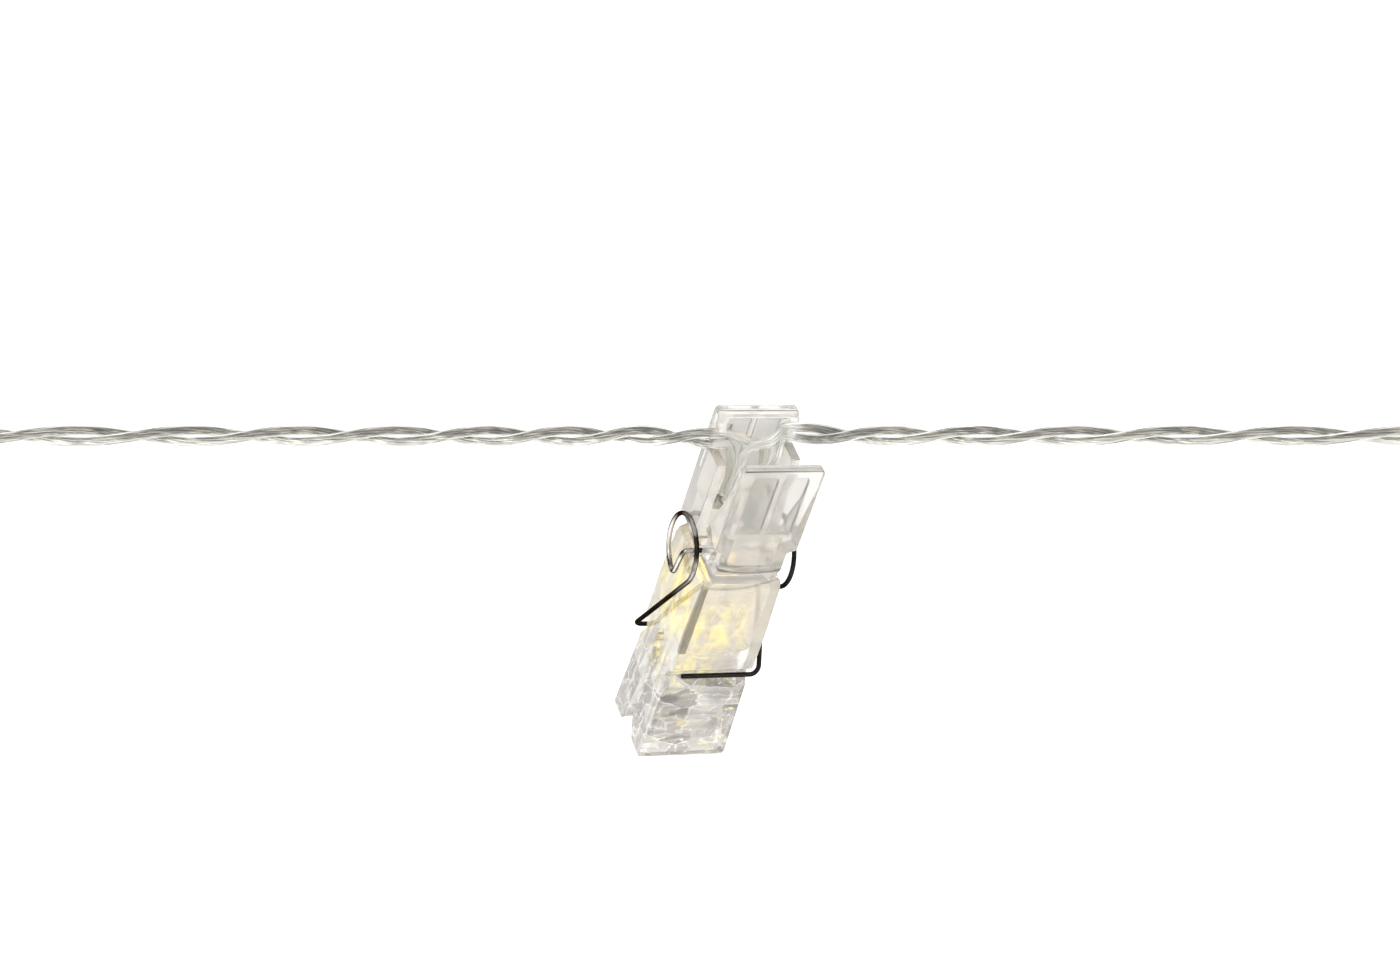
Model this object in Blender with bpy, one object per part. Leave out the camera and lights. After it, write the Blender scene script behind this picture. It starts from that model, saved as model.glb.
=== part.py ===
"""A lighted photo clip on a display string: a clear sprung clip with an LED inside, hung on a
twisted pair of clear wires that is stretched between two small wall hooks.

Axes: +X along the string, +Y towards the wall, +Z up. The origin is the middle of the left
hook's adhesive face, on the wall. The clip is modelled upright about its own pivot, with
+X across its width, +Y to its rear half and +Z to its handles, and is then turned as it hangs.
"""

import math

import bmesh
import bpy
from mathutils import Euler, Matrix, Vector

MM = 0.001

# Clip halves
CLIP_WIDTH = 10.3 * MM
NOSE_WIDTH = 11.2 * MM  # the jaws flare a little towards the nose
REAR_HANDLE_LENGTH = 17.7 * MM  # pivot to the end of the handle
FRONT_HANDLE_LENGTH = 17.0 * MM
REAR_JAW_LENGTH = 29.6 * MM  # pivot to the nose
FRONT_JAW_LENGTH = 29.5 * MM
TIP_DEPTH = 5.5 * MM  # parting plane to the outer face, at the handle's end
PIVOT_DEPTH = 5.3 * MM
GRIP_DEPTH = 5.15 * MM  # the same just above the wire groove
NOSE_DEPTH = 4.8 * MM
PARTING_GAP = 0.16 * MM  # each half stands this far off the parting plane
OUTER_WALL = 1.05 * MM
SIDE_WALL = 1.2 * MM
TIP_WALL = 1.1 * MM  # thickness of the handle's end
TIP_RIM = 1.0 * MM
OPEN_ANGLE = math.radians(17.0)
RAMP_ANGLE = math.radians(17.5)  # slope of the lever's inner face
TIP_CORNER = 0.8 * MM
NOSE_CORNER = 1.3 * MM
EDGE_ROUND = 0.35 * MM

# Pivot of the clip
WAIST_WIDTH = 8.0 * MM
WAIST_HEIGHT = 4.6 * MM  # how far the front half's narrowed sides reach above the pivot
REAR_WAIST_HEIGHT = 1.7 * MM
HIP_WIDTH = 9.6 * MM  # width just below the waist
HIP_LENGTH = 8.0 * MM
WEB_ABOVE = 1.8 * MM  # solid web round the axle, above and below it
WEB_BELOW = 1.3 * MM
AXLE_CHANNEL_RADIUS = 0.55 * MM
SADDLE_HALF = 1.5 * MM  # shallow hollow across the outer face at the pivot
SADDLE_DEPTH = 0.4 * MM

# Pockets, grip panels and jaws
LOWER_POCKET_LENGTH = 10.4 * MM
POCKET_ROUND = 0.6 * MM
NECK_WIDTH = 5.8 * MM
PANEL_WIDTH = 6.9 * MM
PANEL_LENGTH = 8.6 * MM
PANEL_RECESS = 0.45 * MM
PANEL_FROM_TIP = 1.2 * MM
PANEL_RIB_WIDTH = 0.7 * MM
BAR_GROOVE_HEIGHT = 15.8 * MM  # pivot down to the spring's cross bar
BAR_GROOVE_DEPTH = 1.15 * MM
BAR_GROOVE_HALF = 1.5 * MM
THROAT_TOP = 12.6 * MM
THROAT_BOTTOM = 17.0 * MM
THROAT_RELIEF = 0.85 * MM
TOOTH_PITCH = 2.3 * MM
TOOTH_HEIGHT = 0.6 * MM
TOOTH_CLEARANCE = 0.06 * MM
LEAD_IN_LENGTH = 3.0 * MM
LEAD_IN_DEPTH = 2.4 * MM

# Rear half's own features
REAR_EDGE_SET_BACK = 0.5 * MM  # its handle's inner edge stands back from the parting plane
TIP_RAMP_LENGTH = 4.2 * MM
LEG_CHANNEL_WIDTH = 4.8 * MM
LEG_CHANNEL_DEPTH = 1.5 * MM
NOTCH_HEIGHT = 3.0 * MM
NOTCH_FLOOR_DEPTH = 4.8 * MM

# Spring
SPRING_WIRE = 0.5 * MM
RING_RADIUS = 4.1 * MM
RING_SET_OUT = 0.85 * MM  # the ring's plane outside the clip's side
RING_SHIFT = 0.4 * MM  # each ring leans towards the bar that it feeds
RING_START = math.radians(-76.0)
SPOKE_FOOT = math.radians(-87.0)
BAR_SEAT_GAP = 0.3 * MM
ARM_SPLAY = 0.5 * MM  # the arms spread this far from ring to bar
BAR_SHORT_OF_SIDE = 1.8 * MM
BAR_BEND = 1.1 * MM
AXLE_BEND = 0.6 * MM
SPOKE_BEND = 0.65 * MM
RING_STEPS = 14
BEND_STEPS = 3

# LED and what feeds it
LED_DIAMETER = 3.0 * MM
LED_FLANGE_DIAMETER = 3.4 * MM
LED_FLANGE_THICKNESS = 0.8 * MM
LED_STRAIGHT_LENGTH = 2.9 * MM
LED_DEPTH = 2.25 * MM  # its axis, behind the parting plane
LEG_SPACING = 2.54 * MM
LEG_DIAMETER = 0.5 * MM
SLEEVE_SPACING = 3.6 * MM
JOINT_SLEEVE_LENGTH = 3.3 * MM
JOINT_SLEEVE_WIDTH = 1.3 * MM
JOINT_SLEEVE_DEPTH = 2.4 * MM
JOINT_SLEEVE_ABOVE_WEB = 0.8 * MM
FIT_GAP = 0.3 * MM

# String
WIRE_DIAMETER = 1.1 * MM
PAIR_SPACING = 1.3 * MM  # centre to centre of the twisted wires
LEFT_LOBE = 6.9 * MM  # the half turn next to the clip
RIGHT_LOBE = 8.6 * MM
LOBE_GROWTH = 0.95 * MM  # how much longer each half turn is than the one before it
LEFT_HALF_TURNS = 8
RIGHT_HALF_TURNS = 7
LEFT_ENTRY_PHASE = math.radians(-46.0)
RIGHT_ENTRY_PHASE = math.radians(6.0)
WIRE_STEP = 1.8 * MM
STRING_STAND_OFF = 14.0 * MM  # string to wall
ENTRY_DEPTH = 3.5 * MM  # where the pair passes the rear half's side walls
LEFT_ENTRY_BELOW_TIP = 3.7 * MM
RIGHT_ENTRY_BELOW_TIP = 2.85 * MM
ENTRY_GAP = 0.5 * MM  # parts each wire from its tail, so that the clip can swing
BEND_LENGTH = 9.3 * MM  # the stretch next to the clip that leans to its notch

# End loops and their sleeves
LOOP_RADIUS = 3.4 * MM
SLEEVE_FROM_HOOK = 7.0 * MM
SLEEVE_LENGTH = 7.0 * MM
SLEEVE_DIAMETER = 4.0 * MM
SLEEVE_BORE = 2.85 * MM
LOOP_LEG_IN_SLEEVE = 2.0 * MM

# Wall hooks
PLATE_WIDTH = 13.0 * MM
PLATE_HEIGHT = 22.0 * MM
PLATE_THICKNESS = 1.6 * MM
PLATE_CORNER = 3.5 * MM
PAD_THICKNESS = 0.8 * MM
PAD_EDGE = 0.6 * MM
ARM_WIDTH = 4.4 * MM
ARM_THICKNESS = 2.6 * MM
ARM_ROUND = 1.0 * MM
ARM_BELOW_MIDDLE = 4.6 * MM
ARM_ELBOW = 2.6 * MM
LIP_BEYOND_STRING = 4.2 * MM
LIP_RISE = 7.0 * MM
PLATE_EDGE = 0.4 * MM

# How the clip hangs: tipped about its width, leaned along the string, turned about the vertical
CLIP_TILT = math.radians(8.08)
CLIP_LEAN = math.radians(13.05)
CLIP_TURN = math.radians(19.82)

CUT_OVERRUN = 2.0 * MM
HALF_WIDTH = CLIP_WIDTH / 2
POCKET_HALF = HALF_WIDTH - SIDE_WALL
POCKET_FLOOR = PIVOT_DEPTH - OUTER_WALL
RING_X = HALF_WIDTH + RING_SET_OUT
PAIR_HALF = PAIR_SPACING / 2
LOOP_SHIFT = LOOP_RADIUS - WIRE_DIAMETER / 2 - FIT_GAP - ARM_WIDTH / 2
STRING_HEIGHT = -ARM_BELOW_MIDDLE
LEFT_ENTRY_HEIGHT = REAR_HANDLE_LENGTH - LEFT_ENTRY_BELOW_TIP
RIGHT_ENTRY_HEIGHT = REAR_HANDLE_LENGTH - RIGHT_ENTRY_BELOW_TIP
LEFT_TURNS = LEFT_HALF_TURNS - LEFT_ENTRY_PHASE / math.pi
RIGHT_TURNS = RIGHT_HALF_TURNS - RIGHT_ENTRY_PHASE / math.pi


def clear_scene():
    for item in list(bpy.data.objects):
        bpy.data.objects.remove(item, do_unlink=True)


def finish(name, colour, roughness, metallic=0.0, alpha=1.0):
    """A Principled material in the part's colour."""
    made = bpy.data.materials.new(name)
    made.use_nodes = True
    shader = made.node_tree.nodes["Principled BSDF"]
    shader.inputs["Base Color"].default_value = (*colour, 1.0)
    shader.inputs["Roughness"].default_value = roughness
    shader.inputs["Metallic"].default_value = metallic
    shader.inputs["Alpha"].default_value = alpha
    return made


def add_object(name, data, material, parent=None):
    made = bpy.data.objects.new(name, data)
    bpy.context.scene.collection.objects.link(made)
    data.materials.append(material)
    made.parent = parent
    return made


def add_empty(name, matrix, parent=None):
    made = bpy.data.objects.new(name, None)
    bpy.context.scene.collection.objects.link(made)
    made.parent = parent
    made.matrix_local = matrix
    return made


def mesh_object(name, bm, material, parent=None):
    bmesh.ops.recalc_face_normals(bm, faces=bm.faces)
    mesh = bpy.data.meshes.new(name)
    bm.to_mesh(mesh)
    bm.free()
    mesh.shade_smooth()
    mesh.set_sharp_from_angle(angle=math.radians(30.0))
    return add_object(name, mesh, material, parent)


def arc(centre, radius, start, stop, steps):
    """Points on an arc, angles in degrees from the first axis towards the second."""
    points = []
    for step in range(steps + 1):
        angle = math.radians(start + (stop - start) * step / steps)
        points.append((centre[0] + radius * math.cos(angle), centre[1] + radius * math.sin(angle)))
    return points


def prism(outline, low, high, place):
    """A prism of a flat outline, swept from low to high; place makes each point of it."""
    bm = bmesh.new()
    near = [bm.verts.new(place(u, v, low)) for u, v in outline]
    far = [bm.verts.new(place(u, v, high)) for u, v in outline]
    count = len(outline)
    bm.faces.new(near)
    bm.faces.new(reversed(far))
    for i in range(count):
        j = (i + 1) % count
        bm.faces.new((near[j], near[i], far[i], far[j]))
    return bm


def box(low, high, round_axis=None, radius=0.0):
    """A box, with its edges along one axis rounded."""
    bm = bmesh.new()
    bmesh.ops.create_cube(bm, size=1.0)
    for vert in bm.verts:
        vert.co = Vector([low[i] + (high[i] - low[i]) * (vert.co[i] + 0.5) for i in range(3)])
    if round_axis is not None:
        edges = []
        for edge in bm.edges:
            along = (edge.verts[0].co - edge.verts[1].co).normalized()
            if abs(along[round_axis]) > 0.99:
                edges.append(edge)
        bmesh.ops.bevel(bm, geom=edges, offset=radius, segments=3, profile=0.5, affect="EDGES")
    return bm


def add_cutter(name, bm, parent=None):
    made = mesh_object(name, bm, CLEAR_PLASTIC, parent)
    made.hide_render = True
    made.display_type = "WIRE"
    return made


def boolean(target, tool, operation="DIFFERENCE"):
    modifier = target.modifiers.new(tool.name, "BOOLEAN")
    modifier.operation = operation
    modifier.solver = "EXACT"
    modifier.object = tool


def smooth_path(route, step):
    """Evenly spaced points on a smooth curve through the route's points."""
    ends = [route[0] * 2 - route[1]] + list(route) + [route[-1] * 2 - route[-2]]
    dense = []
    for i in range(1, len(ends) - 2):
        p0, p1, p2, p3 = ends[i - 1 : i + 3]
        for part in range(24):
            t = part / 24
            a = (p1 * 2) + (p2 - p0) * t
            b = (p0 * 2 - p1 * 5 + p2 * 4 - p3) * t * t
            c = (p1 * 3 - p0 - p2 * 3 + p3) * t * t * t
            dense.append((a + b + c) / 2)
    dense.append(route[-1].copy())
    lengths = [0.0]
    for before, after in zip(dense, dense[1:]):
        lengths.append(lengths[-1] + (after - before).length)
    count = max(2, round(lengths[-1] / step))
    points = []
    i = 0
    for n in range(count + 1):
        want = lengths[-1] * n / count
        while i < len(dense) - 2 and lengths[i + 1] < want:
            i += 1
        share = (want - lengths[i]) / (lengths[i + 1] - lengths[i])
        points.append(dense[i].lerp(dense[i + 1], min(share, 1.0)))
    return points


def tube(name, points, diameter, material, parent=None, resolution=2):
    """A round wire through the points."""
    data = bpy.data.curves.new(name, "CURVE")
    data.dimensions = "3D"
    data.bevel_depth = diameter / 2
    data.bevel_resolution = resolution
    data.use_fill_caps = True
    spline = data.splines.new("POLY")
    spline.points.add(len(points) - 1)
    for target, point in zip(spline.points, points):
        target.co = (*point, 1.0)
    return add_object(name, data, material, parent)


# Clip halves


def tooth_line(z):
    """The jaws' shared toothed line: how far it stands from the parting plane."""
    phase = (z / TOOTH_PITCH) % 1.0
    return TOOTH_HEIGHT * (2 * abs(phase - 0.5) - 0.5)


def jaw_face(side, jaw_length):
    """The toothed inner face from the lead-in up to the throat, as (depth, height)."""
    half = TOOTH_PITCH / 2
    bottom = LEAD_IN_LENGTH - jaw_length
    first = math.ceil(bottom / half)
    last = math.floor(-THROAT_BOTTOM / half)
    stand_off = PARTING_GAP + TOOTH_CLEARANCE
    points = [(side * tooth_line(bottom) + stand_off, bottom)]
    for n in range(first, last + 1):
        points.append((side * tooth_line(n * half) + stand_off, n * half))
    return points


def outer_face(jaw_length, handle_length):
    """The outer face, from the handle's end down to the nose and across it."""
    groove = -BAR_GROOVE_HEIGHT
    floor = GRIP_DEPTH - BAR_GROOVE_DEPTH
    saddle_radius = (SADDLE_HALF**2 + SADDLE_DEPTH**2) / (2 * SADDLE_DEPTH)
    saddle_angle = math.degrees(math.asin(SADDLE_HALF / saddle_radius))
    saddle_centre = (PIVOT_DEPTH - SADDLE_DEPTH + saddle_radius, 0.0)
    points = [(TIP_DEPTH - EDGE_ROUND, handle_length), (TIP_DEPTH, handle_length - EDGE_ROUND)]
    points += arc(saddle_centre, saddle_radius, 180 - saddle_angle, 180 + saddle_angle, 6)
    points += [
        (GRIP_DEPTH, groove + BAR_GROOVE_HALF),
        (floor + BAR_GROOVE_DEPTH / 6, groove + BAR_GROOVE_HALF / 3),
        (floor, groove),
        (floor + BAR_GROOVE_DEPTH / 6, groove - BAR_GROOVE_HALF / 3),
        (NOSE_DEPTH, groove - BAR_GROOVE_HALF),
    ]
    nose_centre = (NOSE_DEPTH - NOSE_CORNER, -jaw_length + NOSE_CORNER)
    points += arc(nose_centre, NOSE_CORNER, 0, -90, 5)
    points.append((LEAD_IN_DEPTH, -jaw_length + EDGE_ROUND))
    return points


def throat_face():
    """The relieved part of the inner face between the jaws and the pockets."""
    deep = PARTING_GAP + THROAT_RELIEF
    return [
        (deep, -THROAT_BOTTOM + THROAT_RELIEF),
        (deep, -THROAT_TOP - THROAT_RELIEF),
        (PARTING_GAP, -THROAT_TOP),
    ]


def front_handle_face():
    """The lever's inner face, which slopes off so that the handles can close."""
    ramp_top = (TIP_DEPTH - TIP_WALL - PARTING_GAP) / math.tan(RAMP_ANGLE)
    return [
        (PARTING_GAP, 0.0),
        (TIP_DEPTH - TIP_WALL, ramp_top),
        (TIP_DEPTH - TIP_WALL, FRONT_HANDLE_LENGTH),
    ]


def rear_handle_face():
    """The housing's inner face, nearly full depth, with a ramp below its thin end."""
    ramp_top = REAR_HANDLE_LENGTH - EDGE_ROUND
    return [
        (PARTING_GAP, 0.0),
        (REAR_EDGE_SET_BACK, WEB_ABOVE),
        (REAR_EDGE_SET_BACK, ramp_top - TIP_RAMP_LENGTH),
        (TIP_DEPTH - TIP_WALL, ramp_top),
        (TIP_DEPTH - TIP_WALL, REAR_HANDLE_LENGTH),
    ]


def front_outline(jaw_length, handle_length, waist_height):
    """The clip seen from the front: rounded ends, and a waist inside the spring's rings."""
    waist = WAIST_WIDTH / 2
    step = HALF_WIDTH - waist
    nose_centre = (NOSE_WIDTH / 2 - NOSE_CORNER, -jaw_length + NOSE_CORNER)
    right = arc(nose_centre, NOSE_CORNER, -90, 0, 5)
    right += [
        (HALF_WIDTH, -BAR_GROOVE_HEIGHT),
        (HALF_WIDTH, -HIP_LENGTH),
        (HIP_WIDTH / 2, -step / 2),
        (waist, 0.0),
        (waist, waist_height - step / 2),
        (HALF_WIDTH, waist_height),
    ]
    right += arc((HALF_WIDTH - TIP_CORNER, handle_length - TIP_CORNER), TIP_CORNER, 0, 90, 4)
    left = [(-x, z) for x, z in reversed(right)]
    return right + left


def half_body(name, side, jaw_length, handle_length, waist_height, handle_face, parent):
    """One half of the clip before its pockets; side is +1 for the rear half, -1 for the front."""
    outline = outer_face(jaw_length, handle_length) + jaw_face(side, jaw_length)
    outline += throat_face() + handle_face
    reach = HALF_WIDTH + CUT_OVERRUN
    bm = prism(outline, -reach, reach, lambda d, z, x: (x, side * d, z))
    body = mesh_object(name, bm, CLEAR_PLASTIC, parent)
    near = -side * CUT_OVERRUN
    far = side * (TIP_DEPTH + CUT_OVERRUN)
    seen = front_outline(jaw_length, handle_length, waist_height)
    shape = prism(seen, near, far, lambda x, z, y: (x, y, z))
    boolean(body, add_cutter(name + "_outline", shape, parent), "INTERSECT")
    return body


def cut_box(body, label, side, low, high, round_axis=1):
    """Cuts a box given by its x, depth and z limits, on one half's side of the parting plane."""
    depths = sorted((side * low[1], side * high[1]))
    bm = box((low[0], depths[0], low[2]), (high[0], depths[1], high[2]), round_axis, POCKET_ROUND)
    boolean(body, add_cutter(body.name + "_" + label, bm, body.parent))


def cut_common(body, side, handle_length):
    """The hollows that both halves have: pockets, axle channel and grip panels."""
    below = -WEB_BELOW - LOWER_POCKET_LENGTH
    main = WAIST_HEIGHT + SIDE_WALL
    pockets = (
        ("lower_pocket", POCKET_HALF, below, -WEB_BELOW),
        ("neck_pocket", NECK_WIDTH / 2, WEB_ABOVE, main + SIDE_WALL),
        ("upper_pocket", POCKET_HALF, main, handle_length - TIP_RIM),
    )
    for label, half, low, high in pockets:
        cut_box(body, label, side, (-half, -CUT_OVERRUN, low), (half, POCKET_FLOOR, high))
    channel = bmesh.new()
    bmesh.ops.create_cone(
        channel,
        cap_ends=True,
        segments=20,
        radius1=AXLE_CHANNEL_RADIUS,
        radius2=AXLE_CHANNEL_RADIUS,
        depth=CLIP_WIDTH + 2 * CUT_OVERRUN,
        matrix=Matrix.Rotation(math.pi / 2, 4, "Y"),
    )
    boolean(body, add_cutter(body.name + "_axle_channel", channel, body.parent))
    top = handle_length - PANEL_FROM_TIP
    floor = TIP_DEPTH - PANEL_RECESS
    proud = TIP_DEPTH + CUT_OVERRUN
    rib = PANEL_RIB_WIDTH / 2
    panel = PANEL_WIDTH / 2
    for label, inner, outer in (("left_panel", -panel, -rib), ("right_panel", rib, panel)):
        cut_box(body, label, side, (inner, floor, top - PANEL_LENGTH), (outer, proud, top))


def make_front_half(parent):
    lengths = (FRONT_JAW_LENGTH, FRONT_HANDLE_LENGTH, WAIST_HEIGHT)
    body = half_body("front_half", -1, *lengths, front_handle_face(), parent)
    cut_common(body, -1, FRONT_HANDLE_LENGTH)
    return body


def make_rear_half(parent):
    lengths = (REAR_JAW_LENGTH, REAR_HANDLE_LENGTH, REAR_WAIST_HEIGHT)
    body = half_body("rear_half", 1, *lengths, rear_handle_face(), parent)
    cut_common(body, 1, REAR_HANDLE_LENGTH)
    half_width = LEG_CHANNEL_WIDTH / 2
    half_depth = LEG_CHANNEL_DEPTH / 2
    low = (-half_width, LED_DEPTH - half_depth, -WEB_BELOW - CUT_OVERRUN)
    high = (half_width, LED_DEPTH + half_depth, WEB_ABOVE + CUT_OVERRUN)
    cut_box(body, "leg_channel", 1, low, high, None)
    inner = POCKET_HALF - SIDE_WALL
    outer = HALF_WIDTH + CUT_OVERRUN
    for label, sign, height in (
        ("left_notch", -1, LEFT_ENTRY_HEIGHT),
        ("right_notch", 1, RIGHT_ENTRY_HEIGHT),
    ):
        ends = sorted((sign * inner, sign * outer))
        low = (ends[0], -CUT_OVERRUN, height - NOTCH_HEIGHT / 2)
        high = (ends[1], NOTCH_FLOOR_DEPTH, height + NOTCH_HEIGHT / 2)
        cut_box(body, label, 1, low, high, 0)
    return body


# Spring


def rounded_corners(corners, steps):
    """A path through (point, bend radius) corners, with each bend as a short arc."""
    points = [corners[0][0]]
    for i in range(1, len(corners) - 1):
        corner, radius = corners[i]
        into = (corners[i - 1][0] - corner).normalized()
        out = (corners[i + 1][0] - corner).normalized()
        if radius == 0.0:
            points.append(corner)
            continue
        half = into.angle(out) / 2
        reach = radius / math.tan(half)
        centre = corner + (into + out).normalized() * (radius / math.sin(half))
        start = corner + into * reach - centre
        stop = corner + out * reach - centre
        sweep = start.angle(stop)
        for step in range(steps + 1):
            share = step / steps
            near = math.sin((1 - share) * sweep) / math.sin(sweep)
            far = math.sin(share * sweep) / math.sin(sweep)
            points.append(centre + start * near + stop * far)
    points.append(corners[-1][0])
    return points


def on_ring(angle):
    return Vector((-RING_X, RING_SHIFT + RING_RADIUS * math.cos(angle), RING_RADIUS * math.sin(angle)))


def tangent_angle(point):
    """The angle where a straight arm to the point leaves the ring on its front side."""
    across = point.y - RING_SHIFT
    direction = math.atan2(point.z, across)
    spread = math.acos(RING_RADIUS / math.hypot(across, point.z))
    return direction - spread + 2 * math.pi


def spring_path():
    """From the rear bar's end, round both rings and through the clip, to the front bar's end.

    The wire is the same turned half way round about the clip's upright line.
    """
    bar_depth = GRIP_DEPTH - BAR_GROOVE_DEPTH + BAR_SEAT_GAP + SPRING_WIRE / 2
    bar_z = -BAR_GROOVE_HEIGHT
    corner = Vector((-RING_X - ARM_SPLAY, bar_depth, bar_z))
    bar_end = Vector((HALF_WIDTH - BAR_SHORT_OF_SIDE, bar_depth, bar_z))
    half = [(bar_end, 0.0), (corner, BAR_BEND)]
    leave = tangent_angle(corner)
    for step in range(RING_STEPS + 1):
        half.append((on_ring(leave + (RING_START - leave) * step / RING_STEPS), 0.0))
    half += [(on_ring(SPOKE_FOOT), SPOKE_BEND), (Vector((-RING_X, 0.0, 0.0)), AXLE_BEND)]
    other = [(Vector((-point.x, -point.y, point.z)), bend) for point, bend in reversed(half)]
    return rounded_corners(half + other, BEND_STEPS)


def least_gap(points, diameter):
    """The least gap between stretches of one wire that aren't next to each other."""
    dense = []
    for before, after in zip(points, points[1:]):
        count = max(1, math.ceil((after - before).length / (diameter / 2)))
        dense += [before.lerp(after, n / count) for n in range(count)]
    apart = math.ceil(3.2 * math.pi)
    best = math.inf
    for i, point in enumerate(dense):
        for other in dense[i + apart :]:
            best = min(best, (point - other).length)
    return best - diameter


# LED and its feed


def turned(name, profile, sides, place, material, parent):
    """A turned solid; the profile runs from the top to the bottom of its axis, both at radius 0."""
    bm = bmesh.new()
    top = bm.verts.new(place(0.0, 0.0, profile[0][1]))
    bottom = bm.verts.new(place(0.0, 0.0, profile[-1][1]))
    rings = []
    for radius, z in profile[1:-1]:
        ring = []
        for k in range(sides):
            angle = 2 * math.pi * k / sides
            ring.append(bm.verts.new(place(radius * math.cos(angle), radius * math.sin(angle), z)))
        rings.append(ring)
    for k in range(sides):
        j = (k + 1) % sides
        bm.faces.new((top, rings[0][k], rings[0][j]))
        bm.faces.new((bottom, rings[-1][j], rings[-1][k]))
        for upper, lower in zip(rings, rings[1:]):
            bm.faces.new((upper[k], lower[k], lower[j], upper[j]))
    return mesh_object(name, bm, material, parent)


def make_led(parent):
    top = -WEB_BELOW - FIT_GAP
    shoulder = top - LED_FLANGE_THICKNESS
    radius = LED_DIAMETER / 2
    dome = shoulder - LED_STRAIGHT_LENGTH
    flange = LED_FLANGE_DIAMETER / 2
    profile = [(0.0, top), (flange, top), (flange, shoulder), (radius, shoulder), (radius, dome)]
    for step in range(1, 6):
        angle = math.radians(90 * step / 6)
        profile.append((radius * math.cos(angle), dome - radius * math.sin(angle)))
    profile.append((0.0, dome - radius))
    turned(
        "led_lens", profile, 24, lambda x, y, z: (x, LED_DEPTH + y, z), LED_LENS, parent
    )
    sleeve_low = WEB_ABOVE + JOINT_SLEEVE_ABOVE_WEB
    for label, sign in (("a", -1), ("b", 1)):
        foot = Vector((sign * LEG_SPACING / 2, LED_DEPTH, top + FIT_GAP))
        head = Vector((sign * SLEEVE_SPACING / 2, LED_DEPTH, sleeve_low - FIT_GAP))
        step = (head - foot) / 4
        route = [foot, foot + Vector((0, 0, step.z)), head - Vector((0, 0, step.z)), head]
        tube("led_lead_" + label, smooth_path(route, LEG_DIAMETER), LEG_DIAMETER, TIN, parent)
        middle = sign * SLEEVE_SPACING / 2
        low = (middle - JOINT_SLEEVE_WIDTH / 2, LED_DEPTH - JOINT_SLEEVE_DEPTH / 2, sleeve_low)
        high = (
            middle + JOINT_SLEEVE_WIDTH / 2,
            LED_DEPTH + JOINT_SLEEVE_DEPTH / 2,
            sleeve_low + JOINT_SLEEVE_LENGTH,
        )
        bm = box(low, high, 2, JOINT_SLEEVE_WIDTH / 3)
        mesh_object("joint_sleeve_" + label, bm, SLEEVE_PLASTIC, parent)


# String


def make_clip_frames():
    """The clip's place: the string axis through its notches, and its own pivot."""
    turn = Euler((CLIP_TILT, CLIP_LEAN, CLIP_TURN), "XYZ").to_matrix()
    left = Vector((-HALF_WIDTH, ENTRY_DEPTH, LEFT_ENTRY_HEIGHT))
    right = Vector((HALF_WIDTH, ENTRY_DEPTH, RIGHT_ENTRY_HEIGHT))
    middle = (left + right) / 2
    reach = turn @ (right - left) / 2
    from_left = SLEEVE_FROM_HOOK + SLEEVE_LENGTH + stretch_length(LEFT_LOBE, LEFT_TURNS) + reach.x
    hang_point = Vector((from_left, -STRING_STAND_OFF, STRING_HEIGHT))
    hang = Matrix.Translation(hang_point) @ turn.to_4x4()
    return hang, Matrix.Translation(-middle), left, right


def stretch_length(lobe, turns):
    """Length of a stretch of that many half turns, each longer than the one before."""
    return lobe * turns + LOBE_GROWTH * turns * turns / 2


def half_turns_at(lobe, distance):
    return (math.sqrt(lobe * lobe + 2 * LOBE_GROWTH * distance) - lobe) / LOBE_GROWTH


def pair_stretch(entry, heading, up, sign, lobe, turns, phase):
    """Both wires of one stretch, from the clip's side out to the sleeve at its hook.

    The stretch runs level at the string's own line and leans over the last part of its way
    to meet the notch. Its wires start at the phase given and end one above the other.
    """
    line_y, line_z = -STRING_STAND_OFF, STRING_HEIGHT
    total = stretch_length(lobe, turns)
    count = round(total / WIRE_STEP)
    wires = ([], [])
    centres = []
    for n in range(count + 1):
        distance = total * n / count
        lean = max(0.0, 1 - distance / BEND_LENGTH) ** 2
        x = entry.x + sign * distance
        y = line_y + (entry.y - line_y) * lean
        z = line_z + (entry.z - line_z) * lean
        centres.append((distance, lean, Vector((x, y, z))))
    for distance, lean, centre in centres:
        angle = sign * (phase + math.pi * half_turns_at(lobe, distance))
        along = heading.lerp(Vector((1, 0, 0)), 1 - math.sqrt(lean)).normalized()
        upright = up.lerp(Vector((0, 0, 1)), 1 - math.sqrt(lean))
        upright = (upright - along * upright.dot(along)).normalized()
        aside = along.cross(upright)
        offset = (upright * math.cos(angle) - aside * math.sin(angle)) * PAIR_HALF
        wires[0].append(centre + offset)
        wires[1].append(centre - offset)
    return wires


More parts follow.
